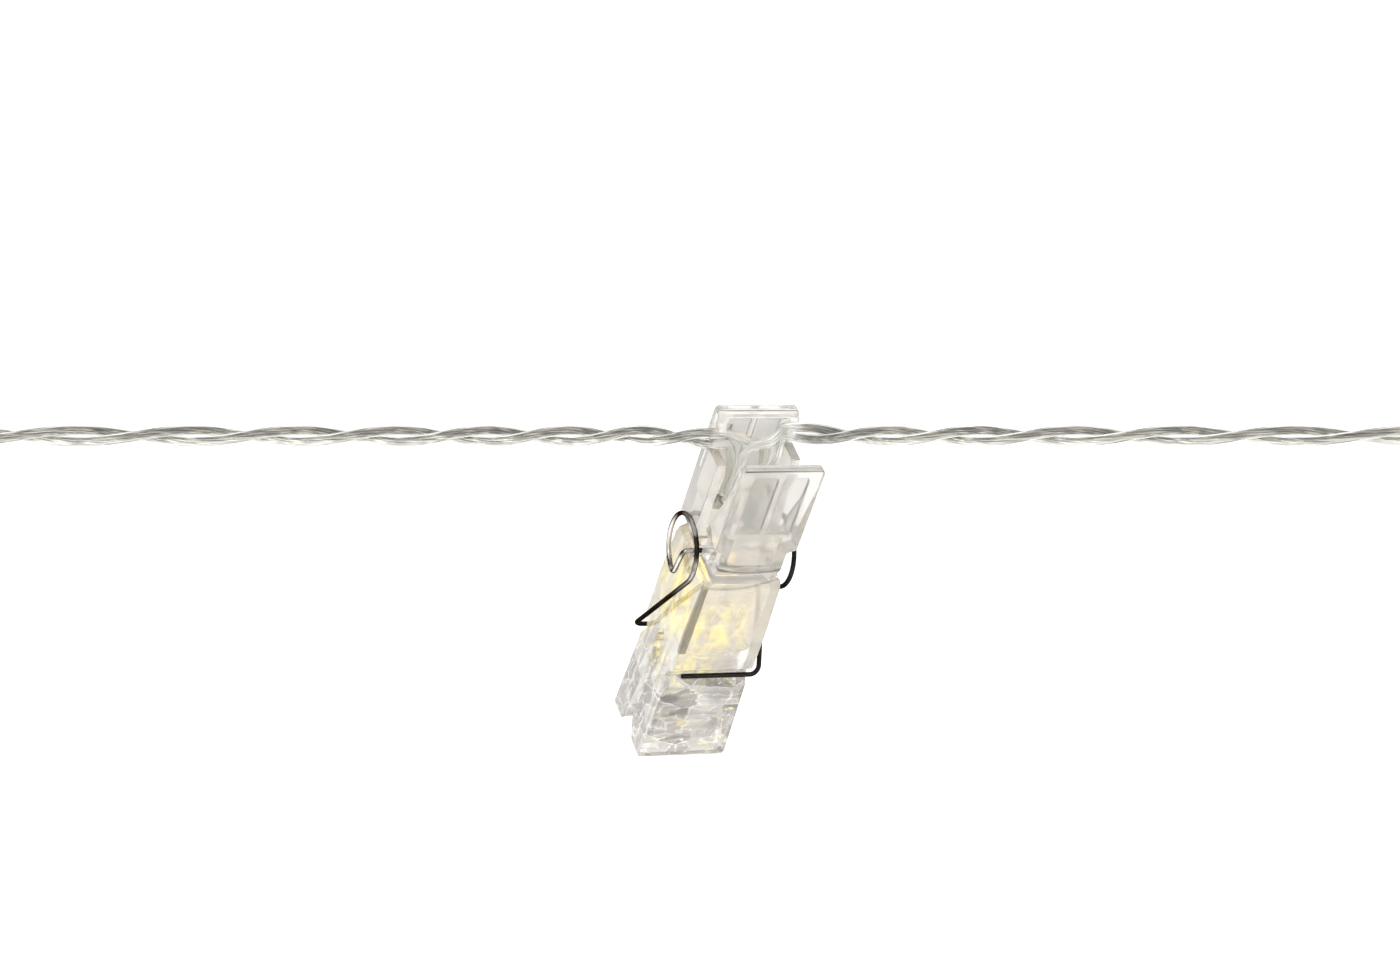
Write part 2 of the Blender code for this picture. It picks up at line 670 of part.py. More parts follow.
def make_string(hang, shift, left, right):
    """The outer stretches of the pair, and the tails inside the clip."""
    turn = hang.to_3x3()
    place = hang @ shift
    heading = (turn @ (right - left)).normalized()
    up = turn @ Vector((0, 0, 1))
    sides = (
        ("left", -1, left, LEFT_LOBE, LEFT_TURNS, LEFT_ENTRY_PHASE),
        ("right", 1, right, RIGHT_LOBE, RIGHT_TURNS, RIGHT_ENTRY_PHASE),
    )
    inward = {}
    for label, sign, local, lobe, turns, phase in sides:
        entry = place @ local
        wires = pair_stretch(entry, heading, up, sign, lobe, turns, phase)
        letters = "ba" if label == "left" else "ab"
        inward[label] = {letter: wire[0] for letter, wire in zip(letters, wires)}
        for letter, wire in zip(letters, wires):
            gap = (wire[1] - wire[0]).normalized() * ENTRY_GAP / 2
            wire[0] = wire[0] + gap
            inside = SLEEVE_LENGTH - LOOP_LEG_IN_SLEEVE - FIT_GAP
            wire.append(wire[-1] + Vector((sign * inside, 0.0, 0.0)))
            tube("string_" + label + "_" + letter, wire, WIRE_DIAMETER, WIRE_JACKET)
    return inward


def make_tails(inward, place, parent):
    """The wire tails inside the clip, from its notches to the joints above the LED.

    The upper wire of each pair crosses to the far joint and the lower one drops to the near
    joint. The left pair crosses behind the right one.
    """
    back = place.inverted()
    joint_top = WEB_ABOVE + JOINT_SLEEVE_ABOVE_WEB + JOINT_SLEEVE_LENGTH + FIT_GAP
    knee_height = joint_top + 2.2 * WIRE_DIAMETER
    for label, sign, depth_sign in (("left", -1, 1), ("right", 1, -1)):
        depth = LED_DEPTH + depth_sign * PAIR_HALF
        for letter in "ab":
            start = back @ inward[label][letter]
            wall = sign * (POCKET_HALF - WIRE_DIAMETER / 2)
            foot_x = (-1 if letter == "a" else 1) * SLEEVE_SPACING / 2
            route = [
                Vector((start.x - sign * ENTRY_GAP / 2, start.y, start.z)),
                Vector((wall, start.y, start.z)),
            ]
            if sign * foot_x > 0:
                middle = (start.z + knee_height) / 2 + WIRE_DIAMETER
                route.append(Vector(((wall + foot_x) / 2, depth, middle)))
            else:
                drop = WIRE_DIAMETER / 2
                route.append(Vector((wall / 3, depth, start.z - drop / 2)))
                route.append(Vector((foot_x * 3 / 4, depth, start.z - 3 * drop)))
            route.append(Vector((foot_x, depth, knee_height)))
            route.append(Vector((foot_x, depth, joint_top)))
            path = smooth_path(route, WIRE_DIAMETER)
            tube("tail_" + label + "_" + letter, path, WIRE_DIAMETER, WIRE_JACKET, parent)


# Ends and hooks


def make_end(label, hook_x, sign):
    """A loop round the hook's arm and the sleeve that holds it to the pair."""
    centre = Vector((hook_x + sign * LOOP_SHIFT, -STRING_STAND_OFF, STRING_HEIGHT))
    leg_end = hook_x + sign * (SLEEVE_FROM_HOOK + LOOP_LEG_IN_SLEEVE)
    sleeve_x = hook_x + sign * SLEEVE_FROM_HOOK
    gape = math.radians(52.0)
    upper = [Vector((leg_end, centre.y, centre.z + PAIR_HALF))]
    upper.append(Vector((sleeve_x, centre.y, centre.z + PAIR_HALF)))
    ring = []
    for step in range(13):
        angle = gape + (2 * math.pi - 2 * gape) * step / 12
        across = sign * LOOP_RADIUS * math.cos(angle)
        ring.append(centre + Vector((across, 0.0, LOOP_RADIUS * math.sin(angle))))
    lower = [Vector((point.x, point.y, 2 * centre.z - point.z)) for point in reversed(upper)]
    path = smooth_path(upper + ring + lower, WIRE_DIAMETER)
    tube(label + "_end_loop", path, WIRE_DIAMETER, WIRE_JACKET)
    far_x = sleeve_x + sign * SLEEVE_LENGTH
    bm = bmesh.new()
    for radius in (SLEEVE_DIAMETER / 2, SLEEVE_BORE / 2):
        for x in (sleeve_x, far_x):
            for k in range(24):
                angle = 2 * math.pi * k / 24
                y = centre.y + radius * math.cos(angle)
                z = centre.z + radius * math.sin(angle)
                bm.verts.new((x, y, z))
    bm.verts.ensure_lookup_table()
    rings = [[bm.verts[24 * n + k] for k in range(24)] for n in range(4)]
    order = (rings[0], rings[1], rings[3], rings[2])
    for n in range(4):
        near, far = order[n], order[(n + 1) % 4]
        for k in range(24):
            j = (k + 1) % 24
            bm.faces.new((near[k], near[j], far[j], far[k]))
    mesh_object(label + "_sleeve", bm, SLEEVE_PLASTIC)


def bar_along(x_middle, line):
    """A bar of rounded section along a line in the YZ plane; each point has its slope and scale."""
    flat = ARM_WIDTH / 2 - ARM_ROUND
    thin = ARM_THICKNESS / 2 - ARM_ROUND
    section = []
    for corner, (x_sign, up_sign) in enumerate(((1, 1), (-1, 1), (-1, -1), (1, -1))):
        start = math.degrees(corner * math.pi / 2)
        stop = math.degrees((corner + 1) * math.pi / 2)
        section += arc((x_sign * flat, up_sign * thin), ARM_ROUND, start, stop, 3)
    bm = bmesh.new()
    rings = []
    for y, z, slope, scale in line:
        ring = []
        for across, up in section:
            offset = up * scale
            place = (x_middle + across * scale, y + offset * math.sin(slope), z + offset * math.cos(slope))
            ring.append(bm.verts.new(place))
        rings.append(ring)
    count = len(section)
    bm.faces.new(rings[0])
    bm.faces.new(reversed(rings[-1]))
    for near, far in zip(rings, rings[1:]):
        for k in range(count):
            j = (k + 1) % count
            bm.faces.new((near[j], near[k], far[k], far[j]))
    return bm


def make_hook(label, hook_x):
    pad_half = PLATE_WIDTH / 2 - PAD_EDGE
    pad_high = PLATE_HEIGHT / 2 - PAD_EDGE
    low = (hook_x - pad_half, -PAD_THICKNESS, -pad_high)
    high = (hook_x + pad_half, 0.0, pad_high)
    pad = mesh_object(label + "_pad", box(low, high, 1, PLATE_CORNER - PAD_EDGE), FOAM)
    plate_back = -PAD_THICKNESS - FIT_GAP
    plate_front = plate_back - PLATE_THICKNESS
    low = (hook_x - PLATE_WIDTH / 2, plate_front, -PLATE_HEIGHT / 2)
    high = (hook_x + PLATE_WIDTH / 2, plate_back, PLATE_HEIGHT / 2)
    hook = mesh_object(label + "_hook", box(low, high, 1, PLATE_CORNER), HOOK_PLASTIC)
    rim = hook.modifiers.new("rim", "BEVEL")
    rim.width = PLATE_EDGE
    rim.segments = 2
    rim.limit_method = "ANGLE"
    rim.angle_limit = math.radians(60.0)
    lip_y = -STRING_STAND_OFF - LIP_BEYOND_STRING
    root_y = (plate_back + plate_front) / 2
    elbow = (lip_y + ARM_ELBOW, STRING_HEIGHT + ARM_ELBOW)
    top = STRING_HEIGHT + LIP_RISE
    line = [(root_y, STRING_HEIGHT, 0.0, 1.0)]
    for step in range(7):
        angle = math.radians(270 - 90 * step / 6)
        y = elbow[0] + ARM_ELBOW * math.cos(angle)
        z = elbow[1] + ARM_ELBOW * math.sin(angle)
        line.append((y, z, math.radians(90 * step / 6), 1.0))
    for step in range(5):
        angle = math.radians(75 * step / 4)
        z = top + ARM_ROUND * math.sin(angle)
        line.append((lip_y, z, math.radians(90), 1 - 0.5 * (1 - math.cos(angle))))
    bm = bar_along(hook_x, line)
    boolean(hook, add_cutter(label + "_hook_arm", bm), "UNION")
    return pad, hook


clear_scene()
CLEAR_PLASTIC = finish("clear_plastic", (0.87, 0.86, 0.82), 0.12, alpha=0.45)
LED_LENS = finish("led_lens", (1.0, 0.86, 0.5), 0.15)
TIN = finish("tinned_wire", (0.72, 0.72, 0.7), 0.3, metallic=1.0)
SPRING_STEEL = finish("spring_steel", (0.1, 0.1, 0.105), 0.28, metallic=1.0)
SLEEVE_PLASTIC = finish("sleeve_plastic", (0.85, 0.85, 0.8), 0.3, alpha=0.7)
WIRE_JACKET = finish("wire_jacket", (0.62, 0.61, 0.54), 0.25)
HOOK_PLASTIC = finish("hook_plastic", (0.88, 0.89, 0.88), 0.15, alpha=0.6)
FOAM = finish("adhesive_foam", (0.93, 0.93, 0.9), 0.9)

hang_frame, to_pivot, left_entry, right_entry = make_clip_frames()
string_axis = add_empty("string_axis", hang_frame)
clip_pivot = add_empty("clip_pivot", to_pivot, string_axis)
make_rear_half(clip_pivot)
make_front_half(clip_pivot)
spring_points = spring_path()
tube("clip_spring", spring_points, SPRING_WIRE, SPRING_STEEL, clip_pivot, 1)
make_led(clip_pivot)
wire_starts = make_string(hang_frame, to_pivot, left_entry, right_entry)
make_tails(wire_starts, hang_frame @ to_pivot, clip_pivot)
middle_x = hang_frame.translation.x
half_reach = (hang_frame.to_3x3() @ (right_entry - left_entry)).x / 2
right_stretch = stretch_length(RIGHT_LOBE, RIGHT_TURNS)
right_hook_x = middle_x + half_reach + right_stretch + SLEEVE_LENGTH + SLEEVE_FROM_HOOK
for side_name, x_place, outward in (("left", 0.0, 1), ("right", right_hook_x, -1)):
    make_end(side_name, x_place, outward)
    make_hook(side_name, x_place)

print("least gap of the spring to itself:", round(least_gap(spring_points, SPRING_WIRE) / MM, 2), "mm")
print("right hook at", round(right_hook_x / MM, 2), "mm, clip hangs at", round(middle_x / MM, 2), "mm")
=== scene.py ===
import math

import bmesh
import bpy
from mathutils import Euler, Matrix, Vector


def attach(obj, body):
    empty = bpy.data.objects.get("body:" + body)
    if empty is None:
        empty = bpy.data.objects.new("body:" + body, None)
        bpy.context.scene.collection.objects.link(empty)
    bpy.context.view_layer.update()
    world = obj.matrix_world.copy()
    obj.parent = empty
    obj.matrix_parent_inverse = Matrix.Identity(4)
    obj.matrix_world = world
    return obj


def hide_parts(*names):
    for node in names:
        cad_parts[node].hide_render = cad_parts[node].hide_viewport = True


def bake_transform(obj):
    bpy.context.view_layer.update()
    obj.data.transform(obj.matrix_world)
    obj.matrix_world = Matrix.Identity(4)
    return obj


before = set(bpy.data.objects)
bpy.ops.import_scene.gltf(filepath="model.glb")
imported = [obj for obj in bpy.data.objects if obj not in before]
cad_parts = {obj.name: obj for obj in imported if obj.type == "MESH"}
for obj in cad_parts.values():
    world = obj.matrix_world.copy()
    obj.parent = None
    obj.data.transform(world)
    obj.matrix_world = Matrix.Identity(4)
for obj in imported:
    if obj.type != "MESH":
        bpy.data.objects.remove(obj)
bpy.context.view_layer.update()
mm = 0.001
print("frame loaded:", len(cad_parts), "nodes")


class Socket:
    # one output socket; arithmetic on it adds Math nodes to its tree
    def __init__(self, tree, out):
        self.tree = tree
        self.out = out

    def math(self, operation, *values):
        made = self.tree.nodes.new("ShaderNodeMath")
        made.operation = operation
        for target, value in zip(made.inputs, values):
            if isinstance(value, Socket):
                self.tree.links.new(value.out, target)
            else:
                target.default_value = value
        return Socket(self.tree, made.outputs[0])

    def __add__(self, other):
        return self.math("ADD", self, other)

    def __sub__(self, other):
        return self.math("SUBTRACT", self, other)

    def __rsub__(self, other):
        return self.math("SUBTRACT", other, self)

    def __mul__(self, other):
        return self.math("MULTIPLY", self, other)

    def __truediv__(self, other):
        return self.math("DIVIDE", self, other)

    def __rtruediv__(self, other):
        return self.math("DIVIDE", other, self)

    __radd__ = __add__
    __rmul__ = __mul__

    def absolute(self):
        return self.math("ABSOLUTE", self)

    def capped(self):
        return self.math("MINIMUM", self, 1.0)

    def most(self, *others):
        found = self
        for other in others:
            found = found.math("MAXIMUM", found, other)
        return found

    def sibling(self, name):
        # another output of the same node
        return Socket(self.tree, self.out.node.outputs[name])


class NodeTree:
    # adds any node by its type: its settings first, then its sockets by name, or n0, n1 ... by their place
    def __init__(self, tree):
        self.tree = tree

    def node(self, kind, settings=None, out=0, **sockets):
        made = self.tree.nodes.new(kind)
        for name, value in (settings or {}).items():
            setattr(made, name, value)
        for name, value in sockets.items():
            target = self.find(made.inputs, name)
            if isinstance(value, (Socket, list)):
                for source in value if isinstance(value, list) else [value]:
                    self.tree.links.new(source.out, target)
            elif target.type == "RGBA" and len(value) == 3:
                target.default_value = (*value, 1.0)
            else:
                target.default_value = value
        return Socket(self.tree, made.outputs[out]) if made.outputs else None

    def find(self, sockets, name):
        if name[0] == "n" and name[1:].isdigit():
            return sockets[int(name[1:])]
        named = [socket for socket in sockets if socket.name.lower() == name.lower().replace("_", " ")]
        return ([socket for socket in named if socket.enabled] or named)[0]


def parts(nodes, vector):
    split = nodes.node("ShaderNodeSeparateXYZ", Vector=vector)
    return [split.sibling(axis) for axis in "XYZ"]


def newMaterial(name):
    made = bpy.data.materials.new(name)
    made.use_nodes = True
    made.node_tree.nodes.clear()
    return made, NodeTree(made.node_tree)


def principled(nodes, tone, grain, look, height=None, **more):
    # one Principled shader, joined to the output: the grain moves its roughness, and the height, or else the
    # grain, its relief; the look's plain values sit on the shader's own sockets
    more.update(look["shader"])
    if "relief" in look:
        strength, depth = look["relief"]
        more["Normal"] = nodes.node("ShaderNodeBump", Strength=strength, Distance=depth, Height=height or grain)
    share, least = look["roughness"]
    shader = nodes.node("ShaderNodeBsdfPrincipled", Base_Color=tone, Roughness=grain * share + least, **more)
    nodes.node("ShaderNodeOutputMaterial", Surface=shader)


def noise(nodes, place, scale, detail, stretch=(1, 1, 1), turn=(0, 0, 0), distortion=0.0, out=0):
    laid = nodes.node("ShaderNodeMapping", Vector=place, Scale=stretch, Rotation=turn)
    return nodes.node(
        "ShaderNodeTexNoise", out=out, Vector=laid, Scale=scale, Detail=detail, Roughness=0.55,
        Distortion=distortion,
    )


def mixColours(nodes, share, first, second):
    return nodes.node("ShaderNodeMix", {"data_type": "RGBA"}, out=2, n0=share, n6=first, n7=second)


def ramped(nodes, value, low, high, start=0.0, stop=1.0, form="LINEAR"):
    # start at the low value, stop at the high one, and no further
    return nodes.node(
        "ShaderNodeMapRange", {"interpolation_type": form}, Value=value, From_Min=low, From_Max=high,
        To_Min=start, To_Max=stop,
    )


def within(nodes, value, low, high, soft):
    # 1 between the two limits, 0 outside, with soft ends
    rise = ramped(nodes, value, low - soft, low + soft, 0.0, 1.0, "SMOOTHSTEP")
    fall = ramped(nodes, value, high - soft, high + soft, 1.0, 0.0, "SMOOTHSTEP")
    return rise * fall


# Where the clip hangs and how the string runs, repeated from the frame's own model.

clipPlace = {
    "width": 10.3 * mm,
    "entryDepth": 3.5 * mm,
    "leftEntryHeight": 14.0 * mm,
    "rightEntryHeight": 14.85 * mm,
    "tilt": math.radians(8.08),
    "lean": math.radians(13.05),
    "turn": math.radians(19.82),
}
stringPair = {
    "wire": 1.1 * mm,
    "jacket": 1.2 * mm,  # what the scene's clear jackets measure
    "spacing": 1.3 * mm,
    "standOff": 14.0 * mm,
    "height": -4.6 * mm,
    "growth": 0.95 * mm,  # what each half turn gains on the one before
    "bend": 9.3 * mm,
    "step": 0.6 * mm,
    "left": {"lobe": 6.9 * mm, "turns": 8 + 46.0 / 180, "phase": math.radians(-46.0)},
    "right": {"lobe": 8.6 * mm, "turns": 7 - 6.0 / 180, "phase": math.radians(6.0)},
    "sleeveFromHook": 7.0 * mm,
    "sleeveLength": 7.0 * mm,
    "legInSleeve": 2.0 * mm,
    "fitGap": 0.3 * mm,
    "swingReach": 13.0 * mm,  # a reach outside the clip's entry
    "swingInside": 0.5 * mm,  # a reach inside it
}


def stretchLength(side):
    return side["lobe"] * side["turns"] + stringPair["growth"] * side["turns"] ** 2 / 2


def clipFrames():
    # the clip's place, the string's two entries into it, the way from one to the other, and its up
    turn = Euler((clipPlace["tilt"], clipPlace["lean"], clipPlace["turn"]), "XYZ").to_matrix()
    half = clipPlace["width"] / 2
    left = Vector((-half, clipPlace["entryDepth"], clipPlace["leftEntryHeight"]))
    right = Vector((half, clipPlace["entryDepth"], clipPlace["rightEntryHeight"]))
    reach = turn @ (right - left) / 2
    ends = stringPair["sleeveFromHook"] + stringPair["sleeveLength"]
    hangX = ends + stretchLength(stringPair["left"]) + reach.x
    hangPoint = Vector((hangX, -stringPair["standOff"], stringPair["height"]))
    place = Matrix.Translation(hangPoint) @ turn.to_4x4() @ Matrix.Translation(-(left + right) / 2)
    return place, place @ left, place @ right, (turn @ (right - left)).normalized(), turn @ Vector((0, 0, 1))


toClip, leftEntry, rightEntry, heading, clipUp = clipFrames()
pivot = toClip.translation.copy()
rightEnd = rightEntry.x + stretchLength(stringPair["right"])
rightHookX = rightEnd + stringPair["sleeveLength"] + stringPair["sleeveFromHook"]


# The camera, at the photo's viewing angle.

cameraView = {
    "elevation": math.radians(35.55),
    "aside": -3.617 * mm,
    "above": 8.094 * mm,
    "distance": 480.0 * mm,
    "lens": 106.5,
    "sensor": 36.0,
    "clip": (0.01, 20.0),
}


def makeCamera():
    data = bpy.data.cameras.new("camera")
    data.lens = cameraView["lens"]
    data.sensor_width = cameraView["sensor"]
    data.clip_start, data.clip_end = cameraView["clip"]
    camera = bpy.data.objects.new("camera", data)
    bpy.context.scene.collection.objects.link(camera)
    low = math.cos(cameraView["elevation"])
    high = math.sin(cameraView["elevation"])
    up = Vector((0, high, low))
    forward = Vector((0, low, -high))
    aim = pivot + Vector((cameraView["aside"], 0, 0)) + up * cameraView["above"]
    camera.location = aim - forward * cameraView["distance"]
    camera.rotation_euler = (math.pi / 2 - cameraView["elevation"], 0, 0)
    bpy.context.scene.camera = camera


makeCamera()
print("camera placed")


# Lamps, world and floor.

studio = {
    "worldLight": 0.8,
    "darkSky": 0.6,  # what gloss and clear plastic see above the backdrop
    "skyFrom": 0.12,
    "skyTo": 0.55,
    "floorHeight": -120 * mm,
    "floorReach": 3.0,
    "floorTone": (0.5, 0.5, 0.5),
    "floorGlow": 0.78,
    "lamps": (
        ("keySoftbox", (-0.35, -0.55, 0.75), 0.6, 3.6),
        ("fillSoftbox", (0.65, -0.35, 0.35), 0.5, 1.3),
        ("backSoftbox", (0.1, 0.6, 0.5), 0.6, 1.6),
    ),
}
white = (1.0, 1.0, 1.0)
black = (0.0, 0.0, 0.0)


def seenDirectly(nodes):
    # camera, glossy and transmission rays all meet the white background
    lens = nodes.node("ShaderNodeLightPath", out="Is Camera Ray")
    return lens.most(lens.sibling("Is Glossy Ray"), lens.sibling("Is Transmission Ray"))


def makeWorld():
    # diffuse light is even; the lens sees white; gloss and clear plastic see white low down and grey above
    world = bpy.data.worlds.new("studioWorld")
    bpy.context.scene.world = world
    world.use_nodes = True
    world.node_tree.nodes.clear()
    nodes = NodeTree(world.node_tree)
    lens = nodes.node("ShaderNodeLightPath", out="Is Camera Ray")
    height = parts(nodes, nodes.node("ShaderNodeTexCoord", out="Generated"))[2]
    sky = ramped(nodes, height, studio["skyFrom"], studio["skyTo"], 1.0, studio["darkSky"], "SMOOTHSTEP")
    seen = seenDirectly(nodes)
    strength = lens.most(sky) * seen + (1 - seen) * studio["worldLight"]
    light = nodes.node("ShaderNodeBackground", Color=white, Strength=strength)
    nodes.node("ShaderNodeOutputWorld", Surface=light)


def makeFloor():
    bm = bmesh.new()
    bmesh.ops.create_grid(bm, x_segments=1, y_segments=1, size=studio["floorReach"])
    bm.transform(Matrix.Translation((pivot.x, 0, studio["floorHeight"])))
    mesh = bpy.data.meshes.new("floor")
    bm.to_mesh(mesh)
    bm.free()
    floor = bpy.data.objects.new("floor", mesh)
    bpy.context.scene.collection.objects.link(floor)
    material, nodes = newMaterial("floorPaper")
    paper = nodes.node("ShaderNodeBsdfDiffuse", Color=studio["floorTone"])
    glow = nodes.node("ShaderNodeEmission", Color=white, Strength=seenDirectly(nodes) * studio["floorGlow"])
    both = nodes.node("ShaderNodeAddShader", n0=paper, n1=glow)
    nodes.node("ShaderNodeOutputMaterial", Surface=both)
    mesh.materials.append(material)


def makeLamps():
    for name, place, size, power in studio["lamps"]:
        data = bpy.data.lights.new(name, "AREA")
        data.size = size
        data.energy = power
        lamp = bpy.data.objects.new(name, data)
        bpy.context.scene.collection.objects.link(lamp)
        lamp.location = pivot + Vector(place)
        lamp.rotation_euler = (pivot - lamp.location).to_track_quat("-Z", "Y").to_euler()


makeWorld()
makeFloor()
makeLamps()
bpy.context.scene.view_settings.view_transform = "Standard"
print("studio ready")


# Mesh helpers.

meshWork = {
    "curveParts": 24,  # of each stretch between two points of a route
    "merge": 0.0001 * mm,
    "sharp": math.radians(50.0),
    "turnedSharp": math.radians(40.0),
}


def addPiece(name, mesh, material, body=None):
    made = bpy.data.objects.new(name, mesh)
    bpy.context.scene.collection.objects.link(made)
    mesh.materials.clear()
    mesh.materials.append(material)
    if body:
        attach(made, body)
    return made


def smoothPath(route, step):
    # evenly spaced points on a smooth curve through the route's points
    ends = [route[0] * 2 - route[1]] + list(route) + [route[-1] * 2 - route[-2]]
    dense = []
    for i in range(1, len(ends) - 2):
        p0, p1, p2, p3 = ends[i - 1:i + 3]
        for part in range(meshWork["curveParts"]):
            t = part / meshWork["curveParts"]
            a = (p1 * 2) + (p2 - p0) * t
            b = (p0 * 2 - p1 * 5 + p2 * 4 - p3) * t * t
            c = (p1 * 3 - p0 - p2 * 3 + p3) * t * t * t
            dense.append((a + b + c) / 2)
    dense.append(route[-1].copy())
    return evenPath(dense, step)


def evenPath(dense, step):
    lengths = [0.0]
    for before, after in zip(dense, dense[1:]):
        lengths.append(lengths[-1] + (after - before).length)
    count = max(2, round(lengths[-1] / step))
    points = []
    i = 0
    for n in range(count + 1):
        want = lengths[-1] * n / count
        while i < len(dense) - 2 and lengths[i + 1] < want:
            i += 1
        share = (want - lengths[i]) / max(lengths[i + 1] - lengths[i], 1e-9)
        points.append(dense[i].lerp(dense[i + 1], min(share, 1.0)))
    return points


def pathLength(points):
    return sum((after - before).length for before, after in zip(points, points[1:]))


def newTree(name, *inputs):
    # a Geometry Nodes tree with geometry in and out, and these named inputs
    tree = bpy.data.node_groups.new(name, "GeometryNodeTree")
    tree.is_modifier = True
    for title, kind in (("Geometry", "Geometry"), *inputs):
        tree.interface.new_socket(title, in_out="INPUT", socket_type="NodeSocket" + kind)
    tree.interface.new_socket("Geometry", in_out="OUTPUT", socket_type="NodeSocketGeometry")
    nodes = NodeTree(tree)
    given = nodes.node("NodeGroupInput")
    return tree, nodes, [given] + [given.sibling(title) for title, kind in inputs]


def closeTree(nodes, path, profile, material):
    # sweeps the profile along the path, and ends the tree
    tube = nodes.node("GeometryNodeCurveToMesh", Curve=path, Profile_Curve=profile, Fill_Caps=True)
    real = nodes.node("GeometryNodeRealizeInstances", Geometry=tube)
    dressed = nodes.node("GeometryNodeSetMaterial", Geometry=real, Material=material)
    nodes.node("NodeGroupOutput", n0=dressed)


def circle(nodes, sides, radius):
    return nodes.node("GeometryNodeCurvePrimitiveCircle", {"mode": "RADIUS"}, Resolution=sides, Radius=radius)


def wireTree():
    # a round wire along a curve
    tree, nodes, (path, diameter, sides, material) = newTree(
        "wireAlongPath", ("Wire Diameter", "Float"), ("Sides", "Int"), ("Wire Material", "Material")
    )
    closeTree(nodes, path, circle(nodes, sides, diameter * 0.5), material)
    return tree


def strandTree():
    # one strand with six more laid round it, twisted along a curve
    tree, nodes, (path, diameter, lay, sides, material) = newTree(
        "strandsAlongPath", ("Strand Diameter", "Float"), ("Lay Length", "Float"), ("Sides", "Int"),
        ("Wire Material", "Material"),
    )
    strand = circle(nodes, sides, diameter * 0.5)
    ring = circle(nodes, 6, diameter)
    outer = nodes.node("GeometryNodeInstanceOnPoints", Points=ring, Instance=strand)
    bundle = nodes.node("GeometryNodeJoinGeometry", Geometry=[strand, outer])
    bundle = nodes.node("GeometryNodeRealizeInstances", Geometry=bundle)
    length = nodes.node("GeometryNodeSplineParameter", out="Length")
    turned = nodes.node("GeometryNodeSetCurveTilt", n0=path, Tilt=length * (2 * math.pi) / lay)
    closeTree(nodes, turned, bundle, material)
    return tree


wireNodes = wireTree()
strandNodes = strandTree()


def alongPath(name, points, tree, values):
    # the mesh that a tree makes along a path, with these values on its named inputs
    data = bpy.data.curves.new(name + "Path", "CURVE")
    data.dimensions = "3D"
    spline = data.splines.new("POLY")
    spline.points.add(len(points) - 1)
    for target, point in zip(spline.points, points):
        target.co = (*point, 1.0)
    guide = bpy.data.objects.new(name + "Path", data)
    bpy.context.scene.collection.objects.link(guide)
    modifier = guide.modifiers.new("wire", "NODES")
    modifier.node_group = tree
    for item in tree.interface.items_tree:
        if item.item_type == "SOCKET" and item.in_out == "INPUT" and item.name in values:
            modifier[item.identifier] = values[item.name]
    graph = bpy.context.evaluated_depsgraph_get()
    mesh = bpy.data.meshes.new_from_object(guide.evaluated_get(graph))
    mesh.name = name
    bpy.data.objects.remove(guide)
    bpy.data.curves.remove(data)
    outwards(mesh)
    return mesh


def wireMesh(name, points, diameter, material, sides=16):
    values = {"Wire Diameter": diameter, "Sides": sides, "Wire Material": material}
    return alongPath(name, points, wireNodes, values)


def outwards(mesh, sharp=meshWork["sharp"]):
    bm = bmesh.new()
    bm.from_mesh(mesh)
    bmesh.ops.remove_doubles(bm, verts=bm.verts, dist=meshWork["merge"])
    bmesh.ops.recalc_face_normals(bm, faces=bm.faces)
    bm.to_mesh(mesh)
    bm.free()
    mesh.shade_smooth()
    mesh.set_sharp_from_angle(angle=sharp)


def turnedMesh(name, profile, sides, place, hollow):
    # turned from (radius, along) points: hollow ones close on themselves, solid ones end on their axis
    bm = bmesh.new()
    rings = []
    for radius, along in profile if hollow else profile[1:-1]:
        angles = [2 * math.pi * k / sides for k in range(sides)]
        rings.append([bm.verts.new(place(radius * math.cos(a), radius * math.sin(a), along)) for a in angles])
    for near, far in zip(rings, rings[1:] + rings[:1] if hollow else rings[1:]):
        for k in range(sides):
            j = (k + 1) % sides
            bm.faces.new((near[k], near[j], far[j], far[k]))
    if not hollow:
        for ring, end in ((rings[0], profile[0]), (rings[-1], profile[-1])):
            tip = bm.verts.new(place(0.0, 0.0, end[1]))
            for k in range(sides):
                bm.faces.new((tip, ring[k], ring[(k + 1) % sides]))
    mesh = bpy.data.meshes.new(name)
    bm.to_mesh(mesh)
    bm.free()
    outwards(mesh, meshWork["turnedSharp"])
    return mesh


# Where a surface point lies. In the clip's own directions, places are millimetres from its pivot.

def objectPlace(nodes):
    return nodes.node("ShaderNodeTexCoord", out="Object")


def inClip(nodes):
    back = toClip.inverted()
    place = nodes.node(
        "ShaderNodeMapping", Vector=objectPlace(nodes), Rotation=back.to_euler("XYZ"), Location=back.translation
    )
    return nodes.node("ShaderNodeVectorMath", {"operation": "SCALE"}, n0=place, Scale=1 / mm)


def nearness(nodes, place, centre, reach):
    # 1 at the centre, falling to 0 at the reach given for each direction
    away = nodes.node("ShaderNodeVectorMath", {"operation": "SUBTRACT"}, n0=place, n1=centre)
    scaled = nodes.node("ShaderNodeVectorMath", {"operation": "DIVIDE"}, n0=away, n1=reach)
    length = nodes.node("ShaderNodeVectorMath", {"operation": "LENGTH"}, out="Value", n0=scaled)
    return ramped(nodes, length, 0.0, 1.0, 1.0, 0.0, "SMOOTHSTEP")


# The clear plastic of the two halves. Side is 1 for the rear half and -1 for the front one, and every place
# is in millimetres from the clip's pivot.

